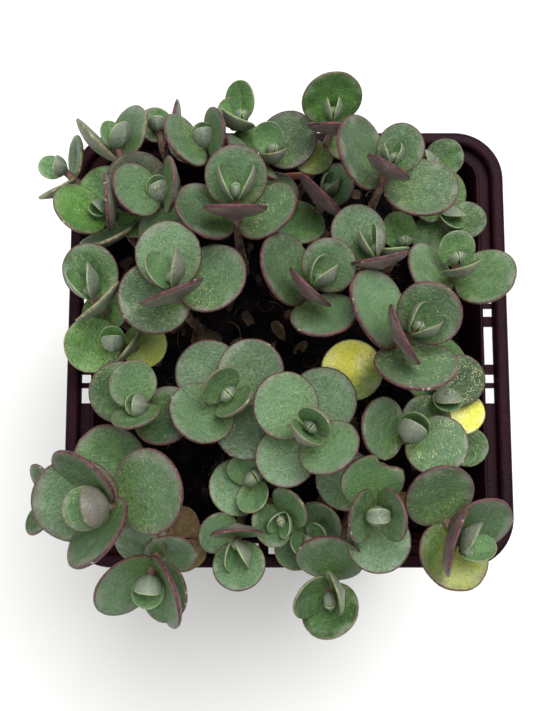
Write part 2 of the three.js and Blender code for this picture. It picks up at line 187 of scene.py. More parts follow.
class Graph:
    """One node tree, of a material or of geometry, with the one method that adds its nodes."""

    def __init__(self, tree):
        self.tree = tree

    def add(self, kind, sockets=None, **settings):
        node = self.tree.nodes.new(kind)
        for name, setting in settings.items():
            setattr(node, name, setting)
        for name, value in (sockets or {}).items():
            self.feed(find_socket(node.inputs, name), value)
        return Made(self, node)

    def feed(self, socket, value):
        if isinstance(value, Value):
            self.tree.links.new(value.socket, socket)
        else:
            socket.default_value = value

    def named(self, name, kind="FLOAT"):
        """An attribute that the points or faces carry."""
        if self.tree.type == "GEOMETRY":
            made = self.add("GeometryNodeInputNamedAttribute", {"Name": name}, data_type=kind)
            return Value(self, next(socket for socket in made.node.outputs if socket.enabled))
        made = self.add("ShaderNodeAttribute", attribute_name=name)
        return made["Vector"] if kind == "FLOAT_VECTOR" else made["Fac"]

    def store(self, geometry, name, vector):
        """Keeps a vector at each point, under a name."""
        settings = dict(data_type="FLOAT_VECTOR", domain="POINT")
        made = self.add("GeometryNodeStoreNamedAttribute", {"Geometry": geometry, "Name": name}, **settings)
        taken = next(socket for socket in made.node.inputs if socket.name == "Value" and socket.enabled)
        self.feed(taken, vector)
        return made["Geometry"]

    def mix(self, share, low, high):
        """Goes from one colour to another; each is a value, or red, green and blue as seen on a screen."""
        low, high = (end if isinstance(end, Value) else colour(*end) for end in (low, high))
        sockets = {"Factor_Float": share, "A_Color": low, "B_Color": high}
        return self.add("ShaderNodeMix", sockets, data_type="RGBA")["Result_Color"]

    def coats(self, skin, *coats):
        """Lays coats over a skin, each given as how much of it shows and its colour."""
        for share, tint in coats:
            skin = self.mix(share, skin, tint)
        return skin

    def vector(self, x, y, z):
        return self.add("ShaderNodeCombineXYZ", {"X": x, "Y": y, "Z": z})["Vector"]

    def position(self):
        return self.add("GeometryNodeInputPosition")["Position"]

    def geometry(self, kind, geometry, **sockets):
        """The geometry after one more geometry node, such as SetPosition."""
        return self.add(f"GeometryNode{kind}", {"Geometry": geometry, **sockets})["Geometry"]

    def noise(self, place, scale, detail, seed=None):
        """Soft noise from about 0.25 to 0.75."""
        sockets = {"Vector": place, "Scale": scale, "Detail": detail}
        if seed is None:
            return self.add("ShaderNodeTexNoise", sockets)["Fac"]
        return self.add("ShaderNodeTexNoise", {"W": seed, **sockets}, noise_dimensions="4D")["Fac"]


def colour(red, green, blue):
    """A colour as seen on a screen, 0 to 255, in the linear light that shaders use."""
    shares = [value / 255 for value in (red, green, blue)]
    linear = [share / 12.92 if share <= 0.04 else ((share + 0.055) / 1.055) ** 2.4 for share in shares]
    return (*linear, 1.0)


def direction(heading, rise):
    turn, lift = math.radians(heading), math.radians(rise)
    return Vector((math.cos(turn) * math.cos(lift), math.sin(turn) * math.cos(lift), math.sin(lift)))


# Materials.


def new_material(name):
    material = bpy.data.materials.new(name)
    material.use_nodes = True
    graph = Graph(material.node_tree)
    shader = material.node_tree.nodes["Principled BSDF"]
    place = graph.add("ShaderNodeTexCoord")["Object"]
    return material, graph, shader, place


def paint(graph, shader, skin, roughness, shine=0.5):
    """Gives the surface its colour, its roughness and its shine."""
    graph.feed(shader.inputs["Base Color"], skin)
    graph.feed(shader.inputs["Roughness"], roughness)
    graph.feed(shader.inputs["Specular IOR Level"], shine)


def bump(graph, shader, height, depth_mm):
    sockets = {"Height": height, "Distance": depth_mm * MM, "Strength": 1.0}
    graph.feed(shader.inputs["Normal"], graph.add("ShaderNodeBump", sockets)["Normal"])


def streaks_along(graph, place, scale, fineness, detail):
    """Noise drawn out or squeezed along each axis, in the thing's own directions."""
    drawn_out = graph.add("ShaderNodeMapping", {"Vector": place, "Scale": scale})["Vector"]
    return graph.noise(drawn_out, fineness, detail)


def spots(graph, place, size_mm, radius, share):
    """Round dots in a share of the cells of an uneven grid."""
    cells = graph.add("ShaderNodeTexVoronoi", {"Vector": place, "Scale": 1 / (size_mm * MM)})
    pick = cells["Color"].parts()[0]
    dot = cells["Distance"].ramp(radius, radius * 0.5)
    chosen = (1 - pick).math("LESS_THAN", share)
    return dot * chosen


def leaf_skin():
    """Waxy leaf: grey-green top with a pale bloom and a painted highlight inside the rim, mauve underside,
    purple-red edge, pale specks.
    """
    material, graph, shader, place = new_material("leaf_skin")
    along, across, side = graph.named("leaf_place", "FLOAT_VECTOR").parts()
    fresh, yellow, dry = graph.named("growth", "FLOAT_VECTOR").parts()
    speckled, blush, young = graph.named("marks", "FLOAT_VECTOR").parts()
    tone = graph.named("tone")
    rim = (along * along + across * across) ** 0.5
    patches = graph.noise(place, 230, 2)
    cloudy = graph.noise(place, 900, 3)
    grain = graph.noise(place, 3600, 2)
    mottle = graph.noise(place, 1700, 2)
    pores = spots(graph, place, 0.3, 0.45, 0.75)

    base = along.ramp(0.35, -0.9) * (0.4 + patches.ramp(0.3, 0.6) * 0.6)
    bright = graph.mix(patches.ramp(0.35, 0.65) * 0.5 + tone * 0.5, (46, 92, 30), (112, 162, 68))
    yellowed = yellow.math("ABSOLUTE")
    still_green = (across * yellow.math("SIGN") - along * 0.6 + cloudy * 0.5 - 0.25).ramp(-0.1, 0.7)
    # The yellowed leaf's gold is painted brighter than its own colour: painted light that makes up for the
    # shade it lies in under the leaves above it.
    gold_painted_bright = graph.mix(patches.ramp(0.4, 0.6), (244, 242, 92), (252, 248, 150))
    gold_painted_bright = graph.mix(still_green * 0.9, gold_painted_bright, (76, 106, 34))
    stipple = pores * 0.22 + grain.ramp(0.45, 0.7) * 0.16 + mottle.ramp(0.5, 0.72) * (0.2 + base * 0.45)
    stipple = stipple * (1 - yellowed * 0.5)
    # A pale band just inside the rim, less on fresh leaves: partly the waxy bloom, partly a painted highlight
    # where the upturned rim catches the light.
    bloom_and_painted_sheen = rim.ramp(0.62, 0.9) * rim.ramp(0.99, 0.93) * patches.ramp(0.5, 0.62) * (1 - fresh * 0.7)
    dew = spots(graph, place, 0.55, 0.26, 0.1)
    clusters = graph.noise(place, 420, 2).ramp(0.48, 0.58) * speckled
    specks = spots(graph, place, 0.32, 0.5, 0.65) * clusters
    green = graph.coats(
        graph.mix(tone, (51, 71, 43), (104, 136, 97)), (patches.ramp(0.35, 0.68) * 0.4, (90, 122, 82)),
        (base * 0.8, (84, 114, 46)), (fresh, bright), (young * 0.5, (118, 158, 104)), (yellowed, gold_painted_bright),
        (stipple, (48, 56, 38)), (mottle.ramp(0.5, 0.3) * 0.16, (150, 170, 128)),
        (bloom_and_painted_sheen * 0.4, (150, 160, 144)), (dew * 0.45, (180, 196, 170)), (specks * 0.8, (204, 206, 156)))

    wander = (cloudy - 0.5) * 0.2 + (patches - 0.5) * 0.25
    flush = (rim + wander).ramp(0.72, 1.02) * blush
    top = graph.mix(flush * 0.6, green, (94, 74, 72))

    mauve = graph.mix(patches.ramp(0.35, 0.7), (96, 75, 78), (124, 108, 104))
    under = graph.coats(
        graph.mix(patches.ramp(0.35, 0.7), (92, 108, 86), (124, 138, 114)),
        ((blush * 1.3).math("MINIMUM", 1.0), mauve), (young * 0.7, (124, 134, 116)),
        (yellowed, (190, 184, 96)), (pores * 0.25, (76, 60, 60)))

    edge = (rim + (grain - 0.5) * 0.05 + (cloudy - 0.5) * 0.06 - young * 0.025).ramp(0.935, 0.985)
    red_edge = graph.mix(cloudy.ramp(0.38, 0.6), (58, 24, 32), (98, 52, 58))
    green_edge = graph.mix(cloudy.ramp(0.4, 0.6), (118, 108, 76), (146, 146, 110))
    old_edge = graph.mix(blush.ramp(0.05, 0.35), green_edge, red_edge)
    pale_edge = graph.mix(along.ramp(0.3, 0.9) * blush, (158, 176, 122), (116, 66, 70))
    nicks = edge * graph.noise(place, 700, 1).ramp(0.68, 0.74)

    papery = (patches * 0.5 + mottle * 0.3 + grain * 0.2).ramp(0.35, 0.65)
    old_straw = graph.mix(papery, (38, 30, 22), (74, 60, 42))
    straw = graph.mix(papery, (112, 90, 56), (166, 142, 98))
    skin = graph.coats(
        graph.mix(side.ramp(0.1, -0.16), top, under), (edge * 0.9, graph.mix(young, old_edge, pale_edge)),
        (nicks * 0.5, (196, 184, 164)), (dry, graph.mix(tone, old_straw, straw)))
    paint(graph, shader, skin, 0.46 + (cloudy - 0.5) * 0.3 + dry * 0.3, 0.4)
    shader.inputs["Subsurface Weight"].default_value = 0.1
    shader.inputs["Subsurface Radius"].default_value = (0.5, 1.0, 0.3)
    shader.inputs["Subsurface Scale"].default_value = 0.0009
    bump(graph, shader, grain * 0.6 + cloudy + mottle - pores * 0.5 + specks * 0.5, 0.12)
    return material


def stem_skin():
    """Purple-brown stem skin, streaked along the stem."""
    material, graph, shader, place = new_material("stem_skin")
    run = graph.named("stem_run")
    streaks = streaks_along(graph, place, (1, 1, 0.2), 2200, 2)
    patches = graph.noise(place, 500, 2)
    shade = graph.coats(
        graph.mix(streaks.ramp(0.35, 0.65), (84, 54, 52), (132, 100, 88)),
        (patches.ramp(0.45, 0.62) * 0.7, (120, 124, 92)), (run.ramp(0.7, 1.0) * 0.5, (124, 78, 78)),
        (run.ramp(1.2, 1.8) * 0.9, (196, 112, 92)))
    paint(graph, shader, shade, 0.55 + (streaks - 0.5) * 0.3)
    bump(graph, shader, streaks, 0.12)
    return material


def pot_plastic():
    """Dark plum nursery plastic: faint pebble, dusty, the more so on flat tops."""
    material, graph, shader, place = new_material("plum_plastic")
    pebble = graph.noise(place, 1900, 2)
    smears = graph.noise(place, 90, 4)
    up = graph.add("ShaderNodeNewGeometry")["Normal"].parts()[2]
    plum = graph.mix(smears.ramp(0.35, 0.7), (30, 10, 17), (40, 14, 22))
    dust = spots(graph, place, 0.5, 0.34, 0.15) * 0.5 + graph.noise(place, 700, 3).ramp(0.55, 0.8) * 0.3
    dust = dust * (0.12 + up.ramp(0.3, 1.0) * 0.16)
    dusty = graph.mix(dust, plum, (96, 66, 72))
    paint(graph, shader, dusty, 0.5 + (smears - 0.5) * 0.3 + dust * 0.4, 0.07)
    bump(graph, shader, pebble, 0.14)
    return material


def soil_mix():
    """Peat with brown crumbs, painted nearly black: its own dark colour with painted shade from the leaves
    above laid into it.
    """
    material, graph, shader, place = new_material("soil_mix")
    patches = graph.noise(place, 260, 4)
    grain = graph.noise(place, 2200, 3)
    # Nearly black: the peat's colour darkened with painted shade from the leaves over it.
    dark = graph.mix(patches.ramp(0.42, 0.72), (5, 4, 5), (26, 19, 16))
    dark = graph.mix(grain.ramp(0.6, 0.74) * 0.3, dark, (66, 48, 36))
    paint(graph, shader, dark, 0.9, 0.1)
    bump(graph, shader, grain + patches, 0.4)
    return material


def bark():
    """Bark flakes and dead scraps: brown, with paler grain along them."""
    material, graph, shader, place = new_material("bark")
    patches = graph.noise(place, 240, 2)
    grain = streaks_along(graph, place, (1, 4, 4), 900, 3)
    brown = graph.mix(patches.ramp(0.42, 0.66), (26, 18, 14), (78, 56, 40))
    brown = graph.mix(grain.ramp(0.52, 0.72) * 0.4, brown, (120, 94, 70))
    paint(graph, shader, brown, 0.85)
    bump(graph, shader, grain, 0.25)
    return material


def root_fibre():
    """Thin dry roots and coir, straw to grey-brown."""
    material, graph, shader, place = new_material("root_fibre")
    patches = graph.noise(place, 200, 2)
    straw = graph.mix(patches.ramp(0.45, 0.66), (24, 18, 15), (104, 84, 66))
    paint(graph, shader, straw, 0.8)
    bump(graph, shader, graph.noise(place, 4000, 1), 0.08)
    return material


# Meshes.


def add_object(name, data):
    thing = bpy.data.objects.new(name, data)
    bpy.context.scene.collection.objects.link(thing)
    return thing


def new_object(name, vertices, edges, faces):
    mesh = bpy.data.meshes.new(name)
    mesh.from_pydata([tuple(vertex) for vertex in vertices], edges, faces)
    return add_object(name, mesh)


def carry(mesh, name, kind, values):
    """Gives each point of a mesh its own value under a name."""
    attribute = mesh.attributes.new(name, kind, "POINT")
    if kind == "FLOAT_VECTOR":
        attribute.data.foreach_set("vector", [number for value in values for number in value])
    else:
        attribute.data.foreach_set("value", values)


def set_plain(thing):
    """Turns an object with modifiers into the plain mesh that they make."""
    depsgraph = bpy.context.evaluated_depsgraph_get()
    mesh = bpy.data.meshes.new_from_object(thing.evaluated_get(depsgraph), depsgraph=depsgraph)
    mesh.name = thing.name
    thing.modifiers.clear()
    thing.data = mesh
    for slot in reversed(range(len(mesh.materials))):
        if mesh.materials[slot] is None:
            mesh.materials.pop(index=slot)


def grow(thing, tree, **inputs):
    """Runs a geometry tree on an object, with its named inputs, and keeps the mesh that it makes."""
    modifier = thing.modifiers.new(tree.name, "NODES")
    modifier.node_group = tree
    for socket in tree.interface.items_tree:
        if socket.in_out == "INPUT" and socket.name in inputs:
            modifier[socket.identifier] = inputs[socket.name]
    set_plain(thing)


def new_tree(name, inputs):
    """A geometry tree with a mesh in, a mesh out and named inputs, given as name: (kind, value)."""
    tree = bpy.data.node_groups.new(name, "GeometryNodeTree")
    tree.interface.new_socket("Mesh", in_out="OUTPUT", socket_type="NodeSocketGeometry")
    tree.interface.new_socket("Plan", in_out="INPUT", socket_type="NodeSocketGeometry")
    for label, (kind, value) in inputs.items():
        socket = tree.interface.new_socket(label, in_out="INPUT", socket_type=f"NodeSocket{kind}")
        if value is not None:
            socket.default_value = value
    graph = Graph(tree)
    return tree, graph, graph.add("NodeGroupInput")


def close_tree(graph, geometry):
    graph.add("NodeGroupOutput", {0: geometry})


def rounded_square(half, corner, z, steps=CORNER_STEPS):
    """The corners of a square with rounded corners, counter-clockwise, in millimetres."""
    ring = []
    for quarter in range(4):
        middle = math.radians((quarter + 0.5) * 90)
        reach = (half - corner) * math.sqrt(2)
        centre = (reach * math.cos(middle), reach * math.sin(middle))
        for step in range(steps + 1):
            angle = math.radians((quarter + step / steps) * 90)
            x, y = corner * math.cos(angle), corner * math.sin(angle)
            ring.append(Vector((centre[0] + x, centre[1] + y, z)))
    return ring


def loft(name, rings):
    """Joins rings of equally many points, in millimetres, into one body with closed ends."""
    count = len(rings[0])
    vertices = [point * MM for ring in rings for point in ring]
    faces = []
    for row in range(len(rings) - 1):
        for i in range(count):
            a, b = row * count + i, row * count + (i + 1) % count
            faces.append((a, b, b + count, a + count))
    faces.append(tuple(reversed(range(count))))
    faces.append(tuple(range(len(vertices) - count, len(vertices))))
    return new_object(name, vertices, [], faces)


def smooth(thing, degrees):
    thing.data.polygons.foreach_set("use_smooth", [True] * len(thing.data.polygons))
    thing.data.set_sharp_from_angle(angle=math.radians(degrees))


def dress(thing, material):
    thing.data.materials.clear()
    thing.data.materials.append(material)
    settle(thing)


def settle(thing):
    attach(thing, "root")


# The pot.


def rim_corner(half):
    return RIM_CORNER - (RIM_HALF - half)


def up_the_wall(z, low, high):
    """Goes evenly from a value at the floor to a value at the web."""
    return low + (high - low) * (z - FLOOR) / (POT_HEIGHT - WEB_DROP - WEB_THICKNESS - FLOOR)


def inner_half(z):
    return up_the_wall(z, BASE_HALF - WALL, WALL_HALF - WALL)


def inner_corner(z):
    return up_the_wall(z, BASE_CORNER - WALL, rim_corner(WALL_HALF - WALL))


def make_pot():
    """One moulding: tapered wall and floor, a web with slots, and a rim with a hanging skirt."""
    top = POT_HEIGHT
    web_top = top - WEB_DROP
    web_foot = web_top - WEB_THICKNESS
    rim_inner = RIM_HALF - RIM_WIDTH
    skirt_foot = top - SKIRT_DEPTH
    lip = top - LIP_DROP
    turn = [math.radians(90 * step / EDGE_STEPS) for step in range(EDGE_STEPS + 1)]
    foot = [(BASE_HALF - EDGE * (1 - math.sin(a)), EDGE * (1 - math.cos(a))) for a in turn]
    walls = [(WALL_HALF - 0.1, web_foot - 0.6), (WALL_HALF + 0.3, web_foot),
             (RIM_HALF - 1.3 * SKIRT_WALL, web_foot), (RIM_HALF - SKIRT_WALL, skirt_foot + BEVEL),
             (RIM_HALF - SKIRT_WALL * 0.8, skirt_foot), (RIM_HALF - SKIRT_WALL * 0.2, skirt_foot),
             (RIM_HALF, skirt_foot + BEVEL)]
    walls += [(RIM_HALF - EDGE * (1 - math.cos(a)), top - EDGE * (1 - math.sin(a))) for a in turn]
    walls += [(rim_inner + EDGE * (1 - math.sin(a)), top - EDGE * (1 - math.cos(a))) for a in turn]
    walls += [(rim_inner, web_top + BEVEL), (rim_inner - BEVEL, web_top), (WALL_HALF + BEVEL, web_top),
              (WALL_HALF, web_top + BEVEL), (WALL_HALF, lip - 1.5 * BEVEL), (WALL_HALF - 1.25 * BEVEL, lip),
              (WALL_HALF - EDGE + BEVEL, lip), (WALL_HALF - EDGE, lip - 1.5 * BEVEL)]
    rings = [rounded_square(half, BASE_CORNER - (BASE_HALF - half), z) for half, z in foot]
    rings += [rounded_square(half, rim_corner(half), z) for half, z in walls]
    rings += [rounded_square(inner_half(z), inner_corner(z), z) for z in (web_foot, FLOOR)]
    pot = loft("nursery_pot", rings)
    for cutter in [make_slots(), make_drains(), make_channels()]:
        modifier = pot.modifiers.new("cut", "BOOLEAN")
        modifier.operation = "DIFFERENCE"
        modifier.solver = "EXACT"
        modifier.object = cutter
        set_plain(pot)
        bpy.data.objects.remove(cutter)
    smooth(pot, 32)
    dress(pot, pot_plastic())
    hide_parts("pot")


def prism(outline, low, high):
    """The points and faces of an upright prism over an outline."""
    count = len(outline)
    points = [Vector((x, y, z)) for z in (low, high) for x, y in outline]
    faces = [tuple(reversed(range(count))), tuple(range(count, 2 * count))]
    faces += [(i, (i + 1) % count, count + (i + 1) % count, count + i) for i in range(count)]
    return points, faces


def on_four_sides(name, prisms):
    """Puts prisms that are made for the right-hand side onto all four sides, as one cutter."""
    vertices, faces = [], []
    for side in range(4):
        turn = Euler((0, 0, math.radians(90 * side)))
        for points, loops in prisms:
            start = len(vertices)
            for point in points:
                turned = point.copy()
                turned.rotate(turn)
                vertices.append(turned * MM)
            faces += [tuple(start + i for i in loop) for loop in loops]
    return new_object(name, vertices, [], faces)


def make_slots():
    inner, outer = WALL_HALF + 0.05, RIM_HALF - RIM_WIDTH - 0.05
    low = POT_HEIGHT - WEB_DROP - WEB_THICKNESS - CUT_PAST
    prisms = []
    for middle, length in RIM_SLOTS:
        start, end = middle - length / 2, middle + length / 2
        outline = [(inner, start), (outer, start), (outer, end), (inner, end)]
        prisms.append(prism(outline, low, low + WEB_THICKNESS + 2 * CUT_PAST))
    return on_four_sides("slot_cutter", prisms)


def make_drains():
    prisms = []
    for x, y, radius in DRAIN_HOLES:
        turns = [2 * math.pi * i / DRAIN_SIDES for i in range(DRAIN_SIDES)]
        outline = [(x + radius * math.cos(turn), y + radius * math.sin(turn)) for turn in turns]
        prisms.append(prism(outline, -CUT_BELOW, 2 * FLOOR))
    return on_four_sides("drain_cutter", prisms)


def make_channels():
    low, high = CHANNEL_REACH
    side = CHANNEL_WIDTH / 2
    outline = [(low, -side), (high, -side), (high, side), (low, side)]
    return on_four_sides("channel_cutter", [prism(outline, -CUT_BELOW / 2, CHANNEL_DEPTH)])


# The soil.


def soil_top(x, y):
    swell = 1.1 * math.sin(x * 0.13 + 1) * math.cos(y * 0.11 - 0.4)
    crumbs = 0.55 * math.sin(x * 0.71 + y * 0.37) * math.cos(y * 0.63 - x * 0.29)
    return SOIL_LEVEL + swell + crumbs


def make_soil(material):
    """The body of the soil: rings up its side, then over its lumpy top, ever smaller and rounder."""
    level = SOIL_LEVEL - SOIL_EDGE_DROP
    edge = inner_half(level) - SEAT_GAP
    corner = inner_corner(level) - SEAT_GAP

    def wall(z):
        return rounded_square(inner_half(z) - SEAT_GAP, max(1, inner_corner(z) - SEAT_GAP), z, BED_STEPS)

    rings = [wall(FLOOR + SEAT_GAP), wall(level / 2), wall(level)]
    for row in range(BED_ROWS):
        share = 0.985 * (1 - row / BED_ROWS) + 0.004
        roundness = (corner / edge + 0.9 * (1 - share)) * 0.98
        flat = rounded_square(edge * share, edge * share * roundness, 0, BED_STEPS)
        rings.append([Vector((p.x, p.y, soil_top(p.x, p.y))) for p in flat])
    soil = loft("soil_bed", rings)
    tree, graph, inputs = new_tree("lumpy soil", {"Lumps": ("Float", 0.0016), "Level": ("Float", level * MM)})
    place = graph.position()
    height = place.parts()[2]
    lumps = (graph.noise(place, 420, 3) - 0.5) + (graph.noise(place, 1500, 2) - 0.5) * 0.5
    rise = lumps * inputs["Lumps"] * height.ramp(inputs["Level"] + 0.0002, inputs["Level"] + 0.0016)
    close_tree(graph, graph.geometry("SetPosition", inputs["Plan"], Offset=graph.vector(0, 0, rise)))
    grow(soil, tree)
    smooth(soil, 50)
    dress(soil, material)
    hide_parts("soil")
    return soil


def any_vector(graph, low, high, seed):
    """A random vector between two, another one for each point."""
    sockets = {"Min": low, "Max": high, "Seed": seed}
    return graph.add("FunctionNodeRandomValue", sockets, data_type="FLOAT_VECTOR")["Value"]


def litter_tree():
    """Scatters lumps over the top of a bed: crumbs, flakes or chips, by their sizes."""
    tree, graph, inputs = new_tree("litter", {
        "Per Square Metre": ("Float", 100000.0), "Smallest": ("Vector", (0.0004, 0.0004, 0.0004)),
        "Largest": ("Vector", (0.001, 0.001, 0.001)), "Tilt": ("Float", 3.0), "Roughness": ("Float", 0.3),
        "Level": ("Float", 0.07), "Seed": ("Int", 1), "Skin": ("Material", None)})
    normal = graph.add("GeometryNodeInputNormal")["Normal"].parts()[2]
    height = graph.position().parts()[2]
    upward = normal.math("GREATER_THAN", 0.4) * height.math("GREATER_THAN", inputs["Level"])
    points = graph.add("GeometryNodeDistributePointsOnFaces", {
        "Mesh": inputs["Plan"], "Density": inputs["Per Square Metre"], "Seed": inputs["Seed"],
        "Selection": upward})["Points"]
    cube = graph.add("GeometryNodeMeshCube", {
        "Size": (1, 1, 1), "Vertices X": 4, "Vertices Y": 3, "Vertices Z": 3})["Mesh"]
    place = graph.position()
    ball = place.vector_math("NORMALIZE") * 0.5
    lump = graph.geometry("SetPosition", cube, Position=place * 0.45 + ball * 0.6)
    low, high = inputs["Tilt"] * -1, inputs["Tilt"]
    turn = any_vector(graph, graph.vector(low, low, -3.2), graph.vector(high, high, 3.2), inputs["Seed"])
    turned = graph.add("FunctionNodeEulerToRotation", {"Euler": turn})["Rotation"]
    size = any_vector(graph, inputs["Smallest"], inputs["Largest"], inputs["Seed"] + 5)
    sockets = {"Points": points, "Instance": lump, "Rotation": turned, "Scale": size}
    lumps = graph.add("GeometryNodeInstanceOnPoints", sockets)["Instances"]
    loose = graph.geometry("RealizeInstances", lumps)
    jitter = graph.add("ShaderNodeTexNoise", {"Vector": graph.position(), "Scale": 1300, "Detail": 1})
    shift = jitter["Color"].vector_math("SUBTRACT", (0.5, 0.5, 0.5)) * (inputs["Roughness"] * 0.002)
    rough = graph.geometry("SetPosition", loose, Offset=shift)
    faceted = graph.geometry("SetShadeSmooth", rough, **{"Shade Smooth": False})
    close_tree(graph, graph.geometry("SetMaterial", faceted, Material=inputs["Skin"]))
    return tree


def scatter(soil, tree, name, material, sizes):
    piece = add_object(name, soil.data.copy())
    piece.data.materials.clear()
    grow(piece, tree, Level=(SOIL_LEVEL - SOIL_EDGE_DROP + LITTER_START) * MM, Skin=material, **sizes)
    settle(piece)


def round_strands(graph, inputs, skin):
    """Turns the edges of a plan into round strands, as thick as each point says."""
    curve = graph.add("GeometryNodeMeshToCurve", {"Mesh": inputs["Plan"]})["Curve"]
    sockets = {"Resolution": inputs["Sides"], "Radius": 1.0}
    circle = graph.add("GeometryNodeCurvePrimitiveCircle", sockets)["Curve"]
    sockets = {"Curve": curve, "Profile Curve": circle, "Scale": graph.named("girth"), "Fill Caps": True}
    strands = graph.add("GeometryNodeCurveToMesh", sockets)["Mesh"]
    return graph.geometry("SetMaterial", graph.geometry("SetShadeSmooth", strands), Material=inputs[skin])


def strand_tree():
    tree, graph, inputs = new_tree("strands", {"Sides": ("Int", 12), "Skin": ("Material", None)})
    close_tree(graph, round_strands(graph, inputs, "Skin"))
    return tree


def make_fibres(tree, material):
    """Thin curly roots and coir lying on the soil."""
    draw = random.Random(5)
    vertices, edges, girths = [], [], []
    for _ in range(FIBRE_COUNT):
        start = [draw.uniform(-FIBRE_START_HALF, FIBRE_START_HALF) for _ in range(2)]
        place = Vector((*start, 0))
        heading, bend = draw.uniform(0, 360), draw.uniform(-26, 26)
        length, girth = draw.uniform(3, 11), draw.uniform(0.05, 0.16)
        lift = draw.uniform(0.3, 1.8)
        for step in range(FIBRE_STEPS):
            share = step / (FIBRE_STEPS - 1)
            if step:
                edges.append((len(vertices) - 1, len(vertices)))
            height = soil_top(place.x, place.y) + 0.25 + lift * math.sin(math.pi * share)
            vertices.append(Vector((place.x, place.y, height)) * MM)
            girths.append(girth * (1 - 0.5 * share) * MM)
            heading += bend + draw.uniform(-14, 14)
            place += direction(heading, 0) * (length / FIBRE_STEPS)
            place.x = max(-FIBRE_END_HALF, min(FIBRE_END_HALF, place.x))
            place.y = max(-FIBRE_END_HALF, min(FIBRE_END_HALF, place.y))
    fibres = new_object("root_fibres", vertices, edges, [])
    carry(fibres.data, "girth", "FLOAT", girths)
    grow(fibres, tree, Sides=5, Skin=material)
    settle(fibres)
